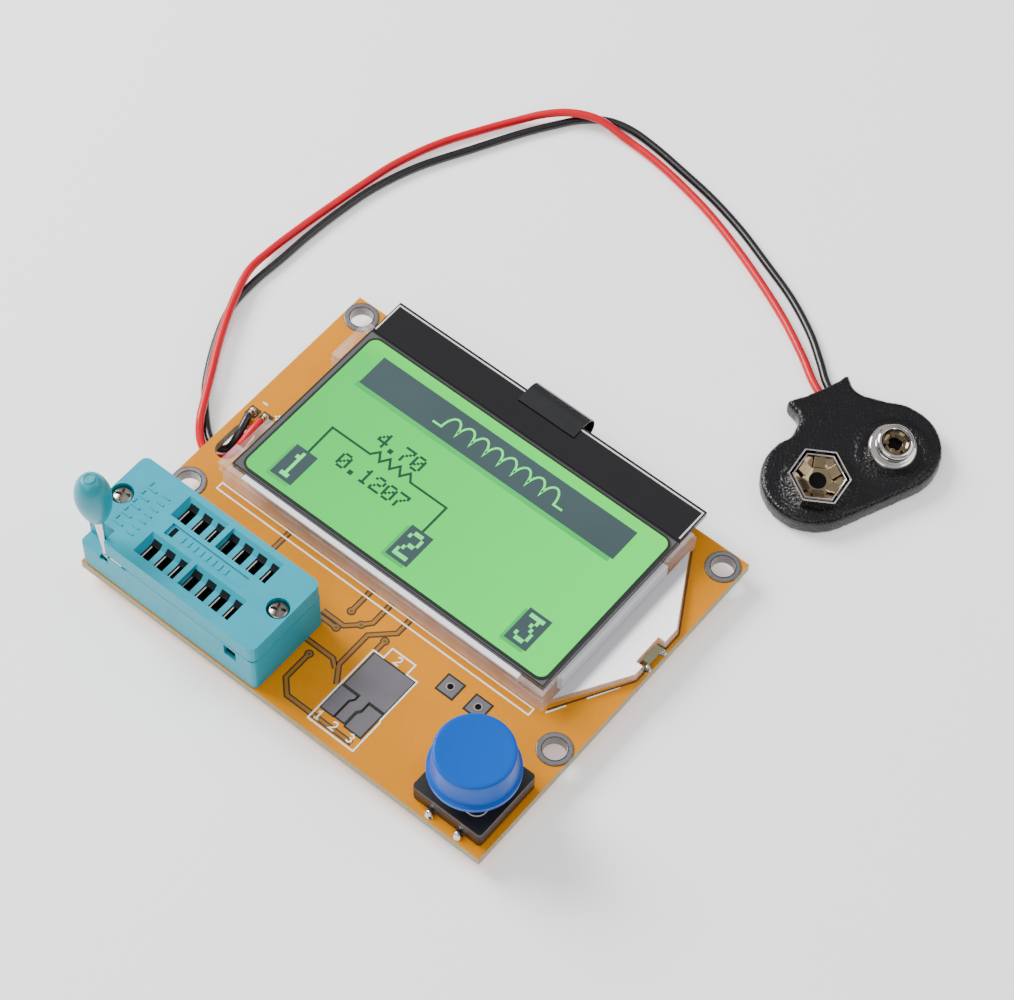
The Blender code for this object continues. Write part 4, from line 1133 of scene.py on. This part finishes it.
def display():
    left, front, right, back = WINDOW
    shape = bmesh.new()
    prism(shape, rounded_rectangle(*WINDOW, WINDOW_CORNER), GLASS_TOP + 0.01, FILM_TOP)
    window = piece("display_window", shape, "green")
    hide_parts("front_polariser")
    shape = bmesh.new()
    ribbon(shape, rounded_rectangle(left - 0.16, front - 0.16, right + 0.16, back + 0.16,
                                    WINDOW_CORNER + 0.15),
           0.44, GLASS_TOP + 0.01, FILM_TOP - 0.01, closed=True)
    left, front, right, back = GLASS_RIM
    rim = [(left, front), (right, front), (right, back), (left, back)]
    ribbon(shape, rim, 0.22, GLASS_TOP + 0.005, GLASS_TOP + 0.05, closed=True)
    piece("display_dark_lines", shape, "dark_line")
    shape = bmesh.new()
    ledge = [(7.75, 55.2), (7.75, 60.75), (64.35, 60.75), (64.35, 55.2)]
    ribbon(shape, ledge, 0.24, 4.40, 4.47)
    piece("ledge_bright_edge", shape, "pale_edge_and_painted_highlight")
    front_strip = [((10.0, 23.05, 3.7), (61.0, 23.95, 4.25))]
    bricks("light_guide_front", front_strip, "white_frame", edge=0.12)
    # A strip over the tray's right side, all in the film's grey: the display's painted shadow.
    screen = [((64.8, 27.1, 0.5), (65.75, 50.9, 3.9))]
    bricks("painted_shadow_strip", screen, "wedge_film", edge=0.1)
    readout()
    # A dark line along the foot of the wedge: painted shadow.
    shape = bmesh.new()
    ribbon(shape, WEDGE_EDGE, 0.22, 0.0, 0.12)
    piece("wedge_foot_painted_shadow", shape, "olive_line_and_painted_shadow")
    shape = bmesh.new()
    for y in (37.75, 41.25):
        solder_drop(shape, 72.55, y, 0.62, 0.75, y)
    piece("lamp_solder", shape, "solder", smooth=50)


# -------- push button
SWITCH_X, SWITCH_Y = 66.2, 7.45
CAP_TOP = 12.0
CORNER_SIGNS = [(sx, sy) for sx in (-1, 1) for sy in (-1, 1)]


def button():
    shape = bmesh.new()
    side_wall = smooth_profile([(5.35, CAP_TOP + 0.05), (5.62, CAP_TOP - 0.05),
                                (5.76, CAP_TOP - 0.4), (5.85, 10.0), (6.0, 8.1)], 4)
    flange = [(6.12, 7.85), (6.4, 7.68), (6.55, 7.5), (6.55, 6.8), (6.45, 6.7), (5.4, 6.7),
              (5.1, 10.6), (3.0, 10.6), (3.0, 4.6), (0.0, 4.6)]
    lathe(shape, [(0.0, CAP_TOP), (4.9, CAP_TOP)] + side_wall + flange,
          at(SWITCH_X, SWITCH_Y, 0), sides=96)
    cap = piece("button_cap_round", shape, "blue", "button", smooth=35)
    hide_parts("button_cap")
    # A pale line round the frame's top: a painted highlight on its moulded edge.
    shape = bmesh.new()
    half = 4.3
    rim = rounded_rectangle(SWITCH_X - half, SWITCH_Y - half, SWITCH_X + half, SWITCH_Y + half, 1.6)
    ribbon(shape, rim, 0.14, 3.33, 3.46, closed=True)
    piece("switch_frame_painted_highlight", shape, "pale_edge_and_painted_highlight")
    shape = bmesh.new()
    for sx, sy in CORNER_SIGNS:
        solder_drop(shape, SWITCH_X + sx * 2.5, SWITCH_Y + sy * 6.45, 0.8, 0.95, sx + 3.0 * sy)
    piece("switch_solder", shape, "solder", smooth=50)


# -------- under the board
def underside():
    joints = bmesh.new()
    flip = Matrix.Rotation(pi, 3, "X")
    spots = [(x, y, 0.85) for y in ROWS_Y for x in PINS_X]
    spots += [(SWITCH_X + sx * 2.5, SWITCH_Y + sy * 6.3, 1.0) for sx, sy in CORNER_SIGNS]
    for x, y, radius in spots:
        lathe(joints, smooth_profile([(0.0, 1.35), (0.3, 1.2), (0.45, 0.6), (radius, 0.03)], 4)
              + [(0.0, 0.0)], at(x, y, UNDERSIDE), sides=20, tilt=flip)
    piece("underside_solder", joints, "solder", smooth=50)
    legs = bmesh.new()
    leg_level = at(0, 0, UNDERSIDE - 0.1).z
    low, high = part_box("microcontroller")
    middle = (low + high) / 2
    for side in range(4):
        turn = Matrix.Rotation(pi / 2 * side, 4, "Z")
        for k in range(8):
            along = Matrix.Translation(Vector((4.0, -2.8 + 0.8 * k, 0)) * MM)
            block(legs, Matrix.Translation((middle.x, middle.y, leg_level)) @ turn @ along,
                  (1.2, 0.35, 0.16))
    for name in ("voltage_regulator", "voltage_reference", "switching_transistor"):
        low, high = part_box(name)
        for k in range(3):
            x = low.x + (high.x - low.x) * (k + 0.5) / 3
            y = low.y if k == 1 else high.y
            block(legs, Matrix.Translation((x, y, leg_level)), (0.4, 1.2, 0.16))
    piece("underside_legs", legs, "ring_metal")


def floor():
    shape = bmesh.new()
    bmesh.ops.create_grid(shape, x_segments=2, y_segments=2, size=1.2,
                          matrix=Matrix.Translation((0, 0, -0.0001)))
    plane = add_object("floor", mesh_from(shape, "floor"))
    paint(plane, "floor")


# -------- build
camera()
studio()
floor()
snap_pieces = [soft_cover(), *battery_socket(), *battery_stud()]
leads()
dress_nodes()
tracks()
test_pads()
ring_outlines()
silkscreen()
lead_pads()
test_socket()
display()
button()
underside()
